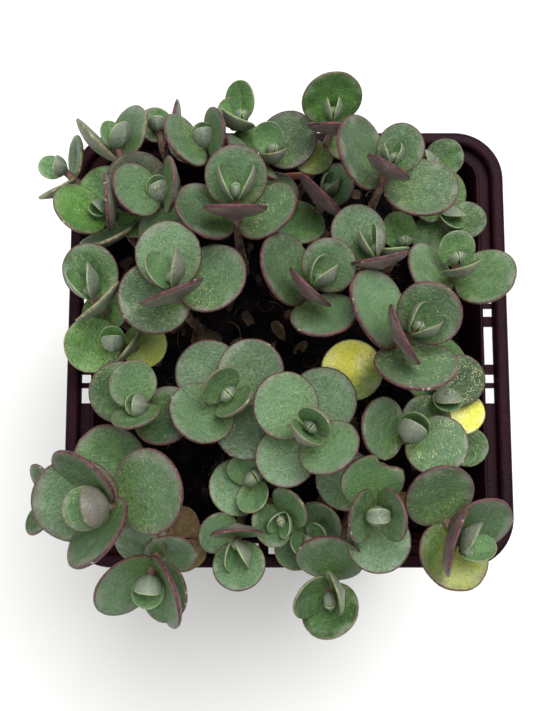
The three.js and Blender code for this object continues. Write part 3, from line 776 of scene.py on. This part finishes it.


# The leafy stems.


# tip is where a shoot's bud stands, in millimetres. lean is the rosette's heading and its angle from
# upright, in degrees; headings count from +X towards +Y. root is where the stem leaves the soil, where that
# isn't just behind the tip. Each row of leaves is one joint, from the lowest up to the bud: its distance
# below the tip, the leaves' size, then the heading and rise of one leaf, or of both leaves of a pair.
# fresh is how bright the green is, blush how purple the edges are and tone how pale the leaf is; on a few
# leaves tone also paints light and shade, set high to lighten a leaf that lies in shade and low to darken one
# as if shaded. marks gives the leaves of a row, or one leaf by row and number, a size and look of their own:
# slide moves a leaf along its heading and roll turns it about that; young closes it, facing turns its top to
# its partner and fold creases it; specks, dry and yellow are how much there is of each, and a yellow below 0
# leaves the other side green; notch is where the outline is cut in, and how deep; shut is how far apart the
# feet of a pair stand whose tips meet.
SHOOTS = {
    "far_left": dict(tip=(-45.6, 34.3, 92), lean=(140, 65), fresh=0.2, blush=0.12, tone=0.2, leaves=[
        (2.8, 8.7, 86, 14, 222, 32), (0.5, 5.2, 169, 15, 169, 75)]),
    "back_left_corner": dict(tip=(-34.2, 37.6, 96), lean=(108, 62), blush=0.4, leaves=[
        (2.8, 12, 77, 10, 142, 38), (0.5, 6, 108, 10, 72, 38)],
        marks={(0, 0): dict(blush=0.2, size=11.4), (0, 1): dict(roll=14, blush=0.15)}),
    "back_left_small": dict(tip=(-26.2, 42.7, 93), lean=(100, 65), blush=0.4, tone=0.3, leaves=[
        (4.4, 10.4, 72, 28), (3, 7.2, 108, 14), (0.6, 4.4, 95, 20, 100, 66)], marks={(0, 0): dict(roll=20)}),
    "back_left": dict(tip=(-16.5, 37.5, 102), lean=(90, 15), leaves=[
        (6.6, 8.4, 144, 3), (2, 11.8, 200, 57, 10, 70), (0.6, 5.6, 100, 44, 100, 58)],
        marks={(1, 0): dict(roll=4), (1, 1): dict(size=10), (2, 0): dict(slide=-2.2),
               (2, 1): dict(slide=-2.6)}),
    "back_bright": dict(tip=(-9.4, 43, 97), lean=(85, 45), fresh=0.5, blush=0.3, tone=0, leaves=[
        (1.8, 7.2, 300, 20, 118, 8), (0.5, 7.2, 96, 16, 238, 76)],
        marks={0: dict(young=0), (0, 1): dict(size=6.6), (1, 0): dict(size=8, roll=34, young=0.3),
               (1, 1): dict(size=8.8, roll=32)}),
    "back_centre": dict(tip=(-10, 23, 112), lean=(90, 34), blush=0.9, tone=0.4, leaves=[
        (7, 12.8, 13, 30, 167, 28), (3.6, 12, 90, 32, 270, 80), (0.9, 7.2, 58, 38, 119, 38),
        (0.2, 2.6, 90, 60, 270, 85)], marks={(0, 0): dict(specks=0.8)}),
    "back_purple": dict(tip=(-3.4, 34.9, 101), lean=(45, 32), blush=1.0, tone=0.3, leaves=[
        (7, 9.4, 310, 10), (3, 13, 44, 12, 200, 66), (0.9, 6.8, 100, 44, 300, 74)],
        marks={(1, 0): dict(specks=0.2, tone=0.1, size=11.8)}),
    "back_top": dict(tip=(8.4, 41.6, 103), lean=(90, 30), root=(2, 33), fresh=0.5, blush=0.25, tone=0.2,
        leaves=[(7.5, 8, 350, 3, 225, 8), (2.8, 12.2, 92, 58, 278, 76), (1.2, 4.8, 105, 42, 75, 42)],
        marks={(0, 0): dict(yellow=0.2), (0, 1): dict(yellow=0.25), (1, 1): dict(blush=0.7, size=11)}),
    "back_right": dict(tip=(18.8, 29.4, 112), lean=(62, 32), blush=0.7, tone=0.3, leaves=[
        (6, 14.4, 129, 35, 354, 6), (2.6, 9.2, 60, 25, 245, 82), (0.7, 4.4, 118, 50, 62, 50)],
        marks={(0, 1): dict(specks=0.35)}),
    "back_right_low": dict(tip=(29.3, 35.2, 92), lean=(60, 20), root=(24, 32), fresh=0.35, blush=0.2, tone=0,
        leaves=[(2.4, 8, 42, 16), (0.8, 4.8, 165, 45, 145, 60)]),
    "right_low": dict(tip=(32.6, 27.2, 86), lean=(0, 12), fresh=0.1, blush=0.3, tone=0.1, leaves=[
        (3.5, 10.2, 74, 10, 255, 10), (1.2, 9, 338, 15, 150, 30), (0.5, 5.4, 300, 32, 320, 50)],
        # tone 0 on leaf (1, 0) is painted shade.
        marks={(0, 0): dict(fresh=0.5), 1: dict(young=0), (1, 0): dict(tone=0)}),
    "behind_middle": dict(tip=(7.5, 28.6, 96), lean=(60, 28), blush=0.9, tone=0.3, leaves=[
        (6.2, 11, 215, 25), (2.6, 10.4, 40, 44, 240, 82), (0.9, 4.6, 80, 45, 40, 52)],
        marks={(0, 0): dict(fresh=0.5, blush=0.2), (1, 0): dict(size=8.6, tone=0.9, facing=0.2),
               (1, 1): dict(size=12)}),
    "middle_right": dict(tip=(15.8, 13.3, 108), lean=(100, 22), blush=0.8, leaves=[
        (2.5, 11.2, 123, 13, 280, 80), (0.9, 6.2, 132, 44, 98, 50)], marks={(0, 1): dict(roll=18)}),
    # curled's high tone is painted light: it lightens a leaf that lies in the shade of its neighbours.
    "curled": dict(tip=(21.6, 16.4, 102), lean=(60, 20), fresh=0.5, blush=0.3, tone=0.9, leaves=[
        (2.2, 7.2, 93, 16, 200, 60)], marks={(0, 0): dict(young=0, facing=0.2, tone=1)}),
    "right": dict(tip=(31.5, 12.4, 104), lean=(95, 25), fresh=0.15, blush=0.3, tone=0.4, leaves=[
        (5.4, 12.4, 356, 30, 177, 43), (2, 8.4, 92, 38, 288, 80), (0.6, 2.6, 10, 70, 190, 70)],
        marks={(0, 0): dict(specks=0.2), (1, 0): dict(size=7.4), (1, 1): dict(roll=-14)}),
    "centre_back": dict(tip=(5.2, 7.2, 110), lean=(45, 28), blush=0.8, leaves=[
        (6, 14.2, 132, 34, 304, 44), (2.8, 10.6, 54, 34, 224, 80), (1, 6.2, 80, 48, 38, 56)],
        marks={(0, 0): dict(roll=-18, fold=0.15), (0, 1): dict(size=12.8), (1, 1): dict(roll=6)}),
    "centre_right": dict(tip=(22.2, -2.4, 114), lean=(40, 34), blush=1.0, leaves=[
        (16, 12, 200, 6), (6.2, 15.4, 122, 20, 303, 42), (2.9, 12.2, 46, 40, 208, 80),
        (1, 6.4, 72, 46, 12, 48)],
        marks={(0, 0): dict(yellow=1.0, blush=0.1), (1, 0): dict(roll=-16, fold=0.3, tone=1.0, specks=0),
               (1, 1): dict(specks=1.0, slide=-1.6), (2, 0): dict(specks=0.3), (2, 1): dict(roll=18)}),
    "right_dark": dict(tip=(30.6, -12.2, 96), lean=(50, 20), fresh=0.1, tone=0.2, leaves=[
        (5.5, 9.4, 340, 8), (7, 11.4, 86, 6), (3, 10.2, 50, 8, 228, 8), (0.9, 6.4, 272, 42, 272, 60)],
        marks={(0, 0): dict(yellow=0.9, blush=0.1), (1, 0): dict(fresh=0.7, blush=0.2, size=14),
               (2, 0): dict(specks=0.9), (3, 0): dict(slide=-2.6), (3, 1): dict(slide=-3)}),
    "front_right_middle": dict(tip=(22, -20.1, 104), lean=(60, 12), blush=0.4, leaves=[
        (4, 12, 346, 20, 160, 44), (1.4, 7, 60, 54, 60, 68)],
        marks={(0, 0): dict(specks=1.0), (1, 0): dict(slide=-0.8), (1, 1): dict(slide=-1.2)}),
    "left_centre": dict(tip=(-21.3, 7.1, 112), lean=(105, 25), blush=0.7, leaves=[
        (6.4, 14, 182, 18, 33, 8), (3, 12.5, 103, 14, 250, 76), (1, 7.6, 140, 40, 85, 58)],
        marks={0: dict(specks=0.5), (0, 0): dict(slide=-2.6, roll=25), (1, 1): dict(roll=-10, blush=0.45)}),
    "left_back": dict(tip=(-24.7, 25.8, 106), lean=(160, 13), blush=0.8, leaves=[
        (6.4, 11.4, 150, 14, 265, 25), (2.2, 11, 185, 42, 0, 76), (0.6, 5.4, 118, 48, 118, 62)],
        marks={(0, 0): dict(size=13, roll=-8, blush=1.0, dry=0.5, tone=0), (1, 1): dict(blush=0.3),
               (2, 0): dict(slide=-2.2), (2, 1): dict(slide=-2.8)}),
    "left_bright": dict(tip=(-35.8, 23.8, 102), lean=(150, 18), fresh=0.75, blush=0.25, leaves=[
        (8.2, 12, 116, 9, 243, 54), (5.5, 10.4, 5, 12), (2.2, 11.4, 190, 40, 0, 86),
        (0.6, 4.2, 225, 50, 225, 68)],
        marks={(0, 1): dict(fresh=0, blush=0.15), (2, 1): dict(fresh=0.1, blush=0.4)}),
    "left_middle": dict(tip=(-37.8, 6.5, 102), lean=(130, 22), fresh=0.2, blush=0.35, leaves=[
        (8, 8.4, 10, 6), (3, 11.4, 100, 28, 315, 76), (1, 7, 138, 36, 96, 43)],
        marks={(0, 0): dict(size=9.4, fresh=0.7, slide=-5), (1, 1): dict(roll=-27, fresh=0, blush=0.1)}),
    "left_lime": dict(tip=(-34, -2.8, 98), lean=(190, 32), fresh=0.85, blush=0.1, leaves=[
        (7, 9.4, 12, 15), (4.2, 11.2, 178, 12, 330, 78), (0.6, 5.6, 92, 50, 90, 68)],
        # tone 1 on leaf (0, 0) is painted light: it lightens a leaf that lies in the shade of left_middle.
        marks={(0, 0): dict(yellow=0.35, tone=1, slide=-2.4), (1, 0): dict(slide=0.6),
               (1, 1): dict(fresh=0.3, size=8.6, roll=33), (2, 0): dict(slide=-0.8),
               (2, 1): dict(slide=-1.4)}),
    "left_front": dict(tip=(-28, -15, 106), lean=(155, 15), tone=0.5, leaves=[
        (5.8, 12, 148, 16, 342, 24), (2, 9.4, 108, 34, 240, 52), (0.6, 5, 172, 46, 172, 64)],
        marks={(0, 0): dict(tone=0.1, fresh=0.25),
               (0, 1): dict(size=12.4, slide=-2.6, roll=12, blush=0.9, tone=0), (1, 0): dict(roll=-30),
               (1, 1): dict(slide=-2), (2, 0): dict(slide=-2), (2, 1): dict(slide=-2.4)}),
    "centre_left": dict(tip=(-11.4, -13.3, 106), lean=(90, 5), blush=0.6, leaves=[
        (7.4, 12, 127, 5, 300, 5), (4, 12.8, 52, 8, 210, 32), (1.6, 8.8, 130, 64, 313, 64),
        (0.4, 2.8, 45, 72, 225, 72)], marks={(0, 0): dict(size=13.2), (2, 1): dict(slide=-1.2)}),
    "centre_front": dict(tip=(3.5, -19.5, 108), lean=(60, 5), blush=0.7, tone=0.9, leaves=[
        (7.4, 13.2, 63, 5, 228, 5), (4.2, 12, 133, 22, 318, 42), (1.5, 8, 50, 72, 230, 74),
        (0.4, 2.4, 140, 75, 320, 75)], marks={(0, 1): dict(size=11.8), (1, 0): dict(size=12.8)}),
    "front_middle_left": dict(tip=(-7, -28, 95), lean=(45, 10), blush=0.15, tone=0.8, leaves=[
        (3.4, 11.4, 205, 14), (1.4, 7.4, 128, 36, 272, 34), (0.4, 3.4, 215, 65, 35, 65)],
        marks={(0, 0): dict(slide=-2.8), 1: dict(young=0.2), (1, 0): dict(slide=-1.2)}),
    "front_left_small": dict(tip=(-9.9, -40.2, 98), lean=(268, 20), blush=0.4, tone=0.4, leaves=[
        (7.8, 8.6, 195, 22), (2.4, 10.3, 92, 84, 274, 28), (0.8, 6, 252, 28, 292, 38)]),
    "front_tiny_left": dict(tip=(-1.6, -36, 96), lean=(200, 10), blush=0.2, tone=0.6, leaves=[
        (3.2, 9, 68, 60, 205, 40), (1.2, 5.4, 200, 50, 290, 52)],
        marks={(0, 1): dict(slide=-1.4), 1: dict(slide=-1.2)}),
    "front_tiny_right": dict(tip=(3.9, -39.6, 89.5), lean=(215, 10), blush=0.2, tone=0.5, leaves=[
        (3.4, 9.6, 60, 52, 215, 26), (1.2, 6, 210, 52, 40, 62)], marks={(0, 1): dict(slide=-1)}),
    "front_right": dict(tip=(15.8, -35.6, 104), lean=(270, 22), blush=0.3, leaves=[
        (10, 9.6, 140, 5), (6, 12.4, 97, 44, 276, 12), (2.8, 10.2, 196, 58, 346, 66),
        (0.9, 5.4, 270, 56, 90, 56)],
        marks={(0, 0): dict(size=12, fresh=0.1), (1, 0): dict(notch=(-38, 0.32), fresh=0.2),
               3: dict(shut=1.5)}),
    "right_front_corner": dict(tip=(31.6, -41, 104), lean=(295, 48), blush=0.9, leaves=[
        (7.6, 13.8, 278, 20, 113, 43), (2.2, 11.4, 36, 22, 206, 78), (0.8, 7, 52, 58, 350, 30)],
        marks={(0, 0): dict(yellow=-0.35, fresh=0.5, tone=0.1, slide=-0.8),
               (1, 0): dict(size=12.4, slide=-1.4), (1, 1): dict(size=12.8, roll=42),
               (2, 1): dict(slide=-0.8)}),
    "front_edge": dict(tip=(7.4, -50.2, 95), lean=(275, 35), root=(13, -33), blush=0.2, tone=0.6, leaves=[
        (4.4, 13.2, 92, 54), (4.4, 11.6, 268, 30), (1.8, 9.2, 198, 42, 345, 84), (0.5, 3, 275, 60, 95, 80)],
        marks={(0, 0): dict(blush=0.5, tone=0.5), (1, 0): dict(fresh=0.3, tone=0), (2, 0): dict(tone=0.2),
               (2, 1): dict(facing=1)}),
    "front_left_edge": dict(tip=(-26.2, -47.4, 98), lean=(262, 55), blush=0.3, tone=0.4, leaves=[
        (6.2, 9.4, 6, 10, 150, 10), (4.6, 11.4, 288, 8), (2.6, 13, 214, 14, 300, 28),
        (0.6, 6.6, 265, 26, 270, 62)],
        marks={(0, 0): dict(slide=-2.2, size=10), (0, 1): dict(size=10.6, slide=-1.8),
               (2, 0): dict(size=14, slide=-1.9), (2, 1): dict(size=14.2, blush=0.8, slide=-2.2),
               3: dict(slide=-1)}),
    "left_front_corner": dict(tip=(-33, -34, 114), lean=(192, 30), root=(-31, -26), blush=0.9, tone=0.25,
        leaves=[(19, 14.4, 138, 8), (5.5, 15.6, 175, 5, 22, 34), (2.4, 13.2, 136, 16, 242, 16),
                (0.8, 8.2, 182, 18, 176, 62)],
        marks={(0, 0): dict(fresh=0.3), (1, 1): dict(specks=0.3, slide=-1.2),
               (2, 0): dict(roll=32, size=13.6), (2, 1): dict(roll=-30, size=14.6, slide=-2.4),
               3: dict(slide=-0.8)}),
    "left_low": dict(tip=(-46.6, -32, 95), lean=(190, 25), blush=0.4, tone=0, leaves=[
        (1.6, 7.6, 241, 10, 112, 25)], marks={0: dict(young=0)}),
    "right_low_middle": dict(tip=(33, -23.3, 86), lean=(30, 12), blush=0.3, tone=0.3, leaves=[
        (1.5, 8, 32, 12), (0.6, 4.6, 12, 25, 160, 55)]),
}

# What a shoot looks like unless its own line says otherwise.
PLAIN_SHOOT = dict(fresh=0, blush=0.5, tone=0.55, marks={})


def root_of(shoot):
    """Where a stem leaves the soil: behind its tip, a little nearer the middle, and inside the pot."""
    behind = direction(shoot["lean"][0], 90 - shoot["lean"][1]) * -ROOT_BACK
    place = [(shoot["tip"][axis] + behind[axis]) * ROOT_SPREAD for axis in (0, 1)]
    return [max(-ROOT_LIMIT, min(ROOT_LIMIT, value)) for value in place]


class StemPath:
    """A stem's middle line in millimetres: straight out of the soil, then bending into its rosette's lean."""

    FINE = 200

    def __init__(self, shoot):
        axis = direction(shoot["lean"][0], 90 - shoot["lean"][1])
        tip = Vector(shoot["tip"])
        reach = tip.z - SOIL_LEVEL
        self.root = Vector((*shoot.get("root", root_of(shoot)), 0))
        start = self.root + Vector((0, 0, SOIL_LEVEL + STEM_START))
        self.axis = axis
        self.handles = (start, start + Vector((0, 0, 0.45 * reach)), tip - axis * 0.4 * reach, tip)
        self.runs = [0.0]
        for step in range(1, self.FINE + 1):
            piece = self.at(step / self.FINE) - self.at((step - 1) / self.FINE)
            self.runs.append(self.runs[-1] + piece.length)
        self.length = self.runs[-1]

    def at(self, t):
        a, b, c, d = self.handles
        s = 1 - t
        return a * s ** 3 + b * (3 * s * s * t) + c * (3 * s * t * t) + d * t ** 3

    def heading(self, t):
        a, b, c, d = self.handles
        s = 1 - t
        return ((b - a) * (s * s) + (c - b) * (2 * s * t) + (d - c) * (t * t)).normalized()

    def by_run(self, run):
        """The curve's own position for a length run along it."""
        run = max(0.0, min(self.length, run))
        step = next(i for i in range(1, self.FINE + 1) if self.runs[i] >= run)
        low, high = self.runs[step - 1], self.runs[step]
        return (step - 1 + (run - low) / (high - low)) / self.FINE


# What the points of a leafy stem carry: how each leaf lies, is shaped and looks, and the stem's girth.
CARRIED = {
    "is_leaf": "BOOLEAN", "along": "FLOAT_VECTOR", "across": "FLOAT_VECTOR", "face": "FLOAT_VECTOR",
    "size": "FLOAT", "dish": "FLOAT", "fold": "FLOAT", "thick": "FLOAT", "curl": "FLOAT", "seed": "FLOAT",
    "crumple": "FLOAT", "notch": "FLOAT_VECTOR", "growth": "FLOAT_VECTOR", "marks": "FLOAT_VECTOR",
    "tone": "FLOAT", "girth": "FLOAT", "stem_run": "FLOAT",
}


class LeafPlan:
    """The points that the leaf tree grows leaves and a stem from, with what each of them carries."""

    def __init__(self):
        self.vertices, self.edges, self.values = [], [], {}

    def point(self, place_mm, **values):
        self.vertices.append(place_mm * MM)
        for name, kind in CARRIED.items():
            empty = (0, 0, 0) if kind == "FLOAT_VECTOR" else 0
            self.values.setdefault(name, []).append(values.get(name, empty))

    def thing(self, name):
        thing = new_object(name, self.vertices, self.edges, [])
        for attribute, values in self.values.items():
            carry(thing.data, attribute, CARRIED[attribute], values)
        return thing


def plan_leaf(plan, joint, along, facing, look, draw):
    """One leaf, with its base at the joint or slid along its own direction, and turned about it by roll."""
    flat = (facing - along * facing.dot(along)).normalized()
    roll = math.radians(look.get("roll", 0))
    face = flat * math.cos(roll) + flat.cross(along) * math.sin(roll)
    size = look["size"]
    thick = (0.45 + 0.085 * size) * (1 - 0.25 * look["young"])
    dry = look.get("dry", 0)
    notch_turn, notch_depth = look.get("notch", (0, 0))
    plan.point(
        joint + along * look.get("slide", 0), is_leaf=True, along=along, across=face.cross(along), face=face,
        size=size * MM, dish=size * look["dish"] * MM, fold=look["fold"], curl=look["curl"] * size * MM,
        thick=look.get("thick", thick) * MM, seed=draw.uniform(0, 50), crumple=dry * 1.9 + 0.12,
        notch=(math.cos(math.radians(notch_turn)), math.sin(math.radians(notch_turn)), notch_depth),
        growth=(look["fresh"], look.get("yellow", 0), dry),
        marks=(look["specks"], look["blush"], look["young"]), tone=look["tone"],
    )


def plan_stem(plan, path, joints):
    """The stem's points, from its root in the soil up to the tip, swollen at each joint."""
    scars = [path.length - drop for drop in OLD_JOINTS if path.length - drop > 2]
    foot = path.root + Vector((0, 0, SOIL_LEVEL - ROOT_DEPTH))
    rows = [(foot, 0.0, STEM_RADIUS)]
    for step in range(STEM_STEPS + 1):
        run = path.length * step / STEM_STEPS
        radius = STEM_RADIUS * (1 - STEM_TAPER * step / STEM_STEPS)
        swell = max((math.exp(-((run - at) / JOINT_HALF) ** 2) for at in [*joints, *scars]), default=0)
        rows.append((path.at(path.by_run(run)), step / STEM_STEPS, radius * (1 + JOINT_SWELL * swell)))
    for place, share, radius in rows:
        if plan.vertices:
            plan.edges.append((len(plan.vertices) - 1, len(plan.vertices)))
        plan.point(place, girth=radius * MM, stem_run=share)


def plan_shoot(shoot, draw):
    path = StemPath(shoot)
    plan = LeafPlan()
    youngest, grown = YOUNG_SIZES
    rows = [row for row in shoot["leaves"] if row[1] >= BUD_SIZE]
    plan_stem(plan, path, [path.length - row[0] for row in rows])
    for number, (drop, size, *turns) in enumerate(rows):
        t = path.by_run(path.length - drop)
        joint, growing = path.at(t), path.heading(t)
        young = min(1, max(0, (grown - size) / (grown - youngest))) if drop < YOUNG_DROP else 0
        pair = [direction(turns[i], turns[i + 1]) for i in range(0, len(turns), 2)]
        for leaf, along in enumerate(pair):
            look = leaf_look(shoot, number, leaf, size, turns[2 * leaf + 1], young, draw)
            facing = growing.lerp(pair[1 - leaf], look["facing"]) if len(pair) == 2 else growing
            foot = joint - Vector((along.x, along.y, 0)).normalized() * look["shut"]
            plan_leaf(plan, foot, along, -pair[1 - leaf] if look["shut"] else facing, look, draw)
    plan_bud(plan, path, shoot, draw)
    return plan


def leaf_look(shoot, row, leaf, size, rise, young, draw):
    """How a leaf looks, from its age and its shoot, unless marks says otherwise."""
    upright = min(1, max(0, rise) / 70)
    look = dict(
        size=size, facing=max(young, 0.8 * upright ** 2), young=young, shut=0,
        dish=0.07 + (0.02 + 0.11 * young) * upright, fold=0.3 * young * upright + draw.uniform(0.03, 0.1),
        fresh=min(1, shoot["fresh"] + 0.15 * young), blush=shoot["blush"] * (1 - 0.4 * young),
        curl=draw.uniform(-0.03, 0.01) * (1 - young), specks=draw.choice([0.0, 0.1, 0.3]),
        tone=min(1, max(0, shoot["tone"] + draw.uniform(-0.3, 0.3))))
    for mark in (row, (row, leaf)):
        look.update(shoot["marks"].get(mark, {}))
    return look


def plan_bud(plan, path, shoot, draw):
    """Two tiny thick leaves, nearly closed over the growing point, across the youngest pair."""
    size, heading = shoot["leaves"][-1][1:3]
    if size >= BUD_SIZE:
        size, heading = 1.5 + 0.1 * size, heading + 90
    across = direction(heading, 0)
    sideways = (across - path.axis * across.dot(path.axis)).normalized()
    look = dict(size=size, fresh=0.3 * shoot["fresh"], blush=0.2, young=1.0, dish=0.16, fold=0.5, curl=0,
                specks=0, thick=0.34 * size, tone=0.6)
    for turn in (-1, 1):
        along = (path.axis - sideways * (0.3 * turn)).normalized()
        foot = path.at(1.0) + sideways * (0.27 * size * turn) - path.axis * (0.1 * size)
        plan_leaf(plan, foot, along, sideways * -turn, look, draw)


def leafy_stem_tree():
    """Grows a round stem along the plan's edges and a thick round leaf at each of its leaf points."""
    tree, graph, inputs = new_tree("leafy stem", {
        "Around": ("Int", 40), "Rings": ("Int", 18), "Fullness": ("Float", 0.62), "Wave": ("Float", 0.05),
        "Ripple": ("Float", 0.16), "Midrib": ("Float", 0.0003), "Sides": ("Int", 12),
        "Leaf Skin": ("Material", None), "Stem Skin": ("Material", None)})
    sockets = {"Segments": inputs["Around"], "Rings": inputs["Rings"], "Radius": 1.0}
    blank = graph.add("GeometryNodeMeshUVSphere", sockets)["Mesh"]
    blank = graph.store(blank, "leaf_place", graph.position())
    sockets = {"Points": inputs["Plan"], "Selection": graph.named("is_leaf", "BOOLEAN"), "Instance": blank}
    blanks = graph.add("GeometryNodeInstanceOnPoints", sockets)["Instances"]
    blanks = graph.geometry("RealizeInstances", blanks)

    place = graph.named("leaf_place", "FLOAT_VECTOR")
    joint = graph.position() - place
    bx, by, bz = place.parts()
    size, seed = graph.named("size"), graph.named("seed")
    half = size * 0.5
    rim = ((bx * bx + by * by) ** 0.5).math("MAXIMUM", 0.0001)
    around = graph.vector(bx / rim, by / rim, 0)
    waves = graph.noise(around, 1.1, 1, seed) - 0.5 + (graph.noise(around, 4.5, 1, seed) - 0.5) * 0.25
    notch_x, notch_y, notch_depth = graph.named("notch", "FLOAT_VECTOR").parts()
    notch = (bx / rim * notch_x + by / rim * notch_y).ramp(0.86, 0.97) * notch_depth
    outline = 1 + waves * inputs["Wave"] * (bx + 1) * rim.ramp(0.2, 1.0) - notch * rim.ramp(0.5, 1.0)
    dish = graph.named("dish")
    cup = (dish * 2 / half + graph.named("fold")).math("MAXIMUM", 0.02)
    side = by * outline
    middle = 1 - bx * bx
    crumple = (graph.noise(place, 1.5, 2, seed) - 0.5) * graph.named("crumple") * inputs["Ripple"] * size
    midrib = ((by / 0.13) ** 2 * -1).math("EXPONENT") * middle * inputs["Midrib"]
    tip = (bx + 1) * 0.5
    lens = (bz.math("ABSOLUTE") ** inputs["Fullness"]) * bz.math("SIGN") * 0.5 - 0.3
    x = (bx * outline + 1) * half
    y = (cup * side).math("SINE") / cup * half
    z = (1 - (cup * side).math("COSINE")) / cup * half - dish * middle
    z = z + lens * graph.named("thick") + crumple * rim.ramp(0.1, 1.0) - midrib
    z = z + graph.named("curl") * tip * tip
    along, across, face = (graph.named(name, "FLOAT_VECTOR") for name in ("along", "across", "face"))
    spot = joint + along * x + across * y + face * z
    leaves = graph.geometry("SetShadeSmooth", graph.geometry("SetPosition", blanks, Position=spot))
    leaves = graph.geometry("SetMaterial", leaves, Material=inputs["Leaf Skin"])
    both = graph.add("GeometryNodeJoinGeometry")
    for part in (round_strands(graph, inputs, "Stem Skin"), leaves):
        graph.feed(both.node.inputs["Geometry"], part)
    close_tree(graph, both["Geometry"])
    return tree


def make_shoots(tree, skins):
    draw = random.Random(21)
    for name, own in SHOOTS.items():
        piece = plan_shoot({**PLAIN_SHOOT, **own}, draw).thing(f"leafy_{name}")
        grow(piece, tree, **skins)
        settle(piece)
        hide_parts(f"shoot_{name}")


# Dry leaves caught among the stems and lying on the soil: base in millimetres, heading, rise, size, roll and
# how pale each is.
DRY_LEAVES = [
    ((-13.8, 37.2, 94), 75, 62, 5.6, 60, 0.9), ((-16.5, -40.8, 86), 205, 2, 7.4, 8, 0.85),
    ((-21.5, -32.5, 79), 262, 12, 9.5, 30, 0.7), ((9.2, -30.2, 79), 250, 28, 6.4, -20, 0.4),
    ((23.2, -30, 79), 290, 34, 5.6, 30, 0.6), ((-24.8, 4.2, 73.5), 30, 22, 4.6, 60, 0.25),
    ((-19.6, 1.6, 73.5), 80, 30, 4.8, -50, 0.3), ((-14.2, 1.8, 73.5), 150, 12, 5.2, 30, 0.15),
    ((-9.4, 2.4, 73.2), 200, 30, 3.8, 60, 0.2), ((-1.2, 2.6, 73.4), 95, 40, 4.8, 50, 0.35),
    ((1.6, -0.6, 73.2), 60, 20, 3.8, -60, 0.3), ((6.4, -4.6, 73.2), 320, 16, 4.2, 40, 0.2),
    ((-6.2, -34, 73.4), 10, 14, 5.4, 30, 0.3), ((17.6, 20.4, 73.6), 190, 18, 5.2, 40, 0.3),
]

# An old stem that has lost its leaves and bends over between two rosettes. Each point is its place and
# radius in millimetres, and how far along the stem it is; past 1 the skin turns salmon.
BARE_STEM = [
    ((-9.6, 31.2, 68), 0.85, 0.0), ((-10, 31.8, 76), 0.82, 0.5), ((-9.4, 32.4, 82.6), 0.8, 0.8),
    ((-7.2, 32.9, 86.6), 0.78, 1.2), ((-3.8, 33.2, 88.3), 0.76, 1.7), ((0.4, 33.8, 88.8), 0.74, 2.0),
    ((3.8, 34.2, 88.2), 0.72, 2.0), ((4.5, 34.2, 88), 0.5, 2.0), ((4.7, 34.2, 87.9), 0.2, 2.0),
]


def make_dry_leaves(tree, skins):
    draw = random.Random(4)
    plan = LeafPlan()
    for place, heading, rise, size, roll, tone in DRY_LEAVES:
        look = dict(size=size, roll=roll, dish=0.08, fold=0.9, thick=0.5, curl=0.2, dry=1, fresh=0, specks=0,
                    blush=0.3, young=0, tone=tone)
        plan_leaf(plan, Vector(place), direction(heading, rise), Vector((0, 0, 1)), look, draw)
    piece = plan.thing("dry_leaves")
    grow(piece, tree, **skins)
    settle(piece)


def make_bare_stem(tree, material):
    places, radii, runs = zip(*BARE_STEM)
    edges = [(step, step + 1) for step in range(len(places) - 1)]
    stem = new_object("bare_stem", [Vector(place) * MM for place in places], edges, [])
    carry(stem.data, "girth", "FLOAT", [radius * MM for radius in radii])
    carry(stem.data, "stem_run", "FLOAT", runs)
    grow(stem, tree, Sides=12, Skin=material)
    settle(stem)


# Floor, light and camera.


# Metres. Each softbox is a round lamp: its name, place, diameter and power.
FLOOR_HALF = 3
SKY_STRENGTH = 0.38
SOFTBOXES = [("key_softbox", (0.2, 0.3, 0.9), 0.75, 10.2), ("fill_softbox", (-0.4, -0.35, 0.8), 0.7, 3.2)]
LAMPS_AIM = Vector((0, 0, 0.09))


def make_studio():
    corners = [Vector((x, y, 0)) * FLOOR_HALF for x, y in ((-1, -1), (1, -1), (1, 1), (-1, 1))]
    floor = new_object("studio_floor", corners, [], [(0, 1, 2, 3)])
    material, graph, shader, place = new_material("floor_paper")
    mottled = graph.noise(place, 6, 2).ramp(0.35, 0.65)
    paint(graph, shader, graph.mix(mottled, (240, 240, 238), (244, 244, 242)), 0.9)
    floor.data.materials.append(material)

    world = bpy.data.worlds.new("studio")
    world.use_nodes = True
    background = world.node_tree.nodes["Background"]
    background.inputs["Color"].default_value = (1.0, 1.0, 1.0, 1.0)
    background.inputs["Strength"].default_value = SKY_STRENGTH
    bpy.context.scene.world = world
    for name, place, size, power in SOFTBOXES:
        lamp = bpy.data.lights.new(name, "AREA")
        lamp.shape = "DISK"
        lamp.size = size
        lamp.energy = power
        thing = add_object(name, lamp)
        thing.location = place
        thing.rotation_euler = (LAMPS_AIM - Vector(place)).to_track_quat("-Z", "Y").to_euler()


# The camera looks down on the leaves: 81 degrees above the horizon, from 233 mm off.
LOOK_AT = Vector((-4.4, -2.5, 84)) * MM
CAMERA_DISTANCE = 0.233
CAMERA_TILT = math.radians(8.9)
IMAGE_HEIGHT = 711
FOCAL_PIXELS = 1145


def make_camera():
    camera = bpy.data.cameras.new("camera")
    camera.sensor_width = 36
    camera.lens = FOCAL_PIXELS * camera.sensor_width / IMAGE_HEIGHT
    camera.clip_start = 0.01
    thing = add_object("camera", camera)
    thing.rotation_euler = (CAMERA_TILT, 0, 0)
    thing.location = LOOK_AT + Vector((0, -math.sin(CAMERA_TILT), math.cos(CAMERA_TILT))) * CAMERA_DISTANCE
    bpy.context.scene.camera = thing


make_camera()
make_studio()
make_pot()
earth = soil_mix()
soil = make_soil(earth)
litter = litter_tree()
scatter(soil, litter, "soil_crumbs", earth, CRUMBS)
scatter(soil, litter, "bark_flakes", bark(), FLAKES)
strands = strand_tree()
make_fibres(strands, root_fibre())
stems = leafy_stem_tree()
skins = {"Leaf Skin": leaf_skin(), "Stem Skin": stem_skin()}
make_shoots(stems, skins)
make_dry_leaves(stems, skins)
make_bare_stem(strands, skins["Stem Skin"])
bpy.context.scene.view_settings.view_transform = "Standard"
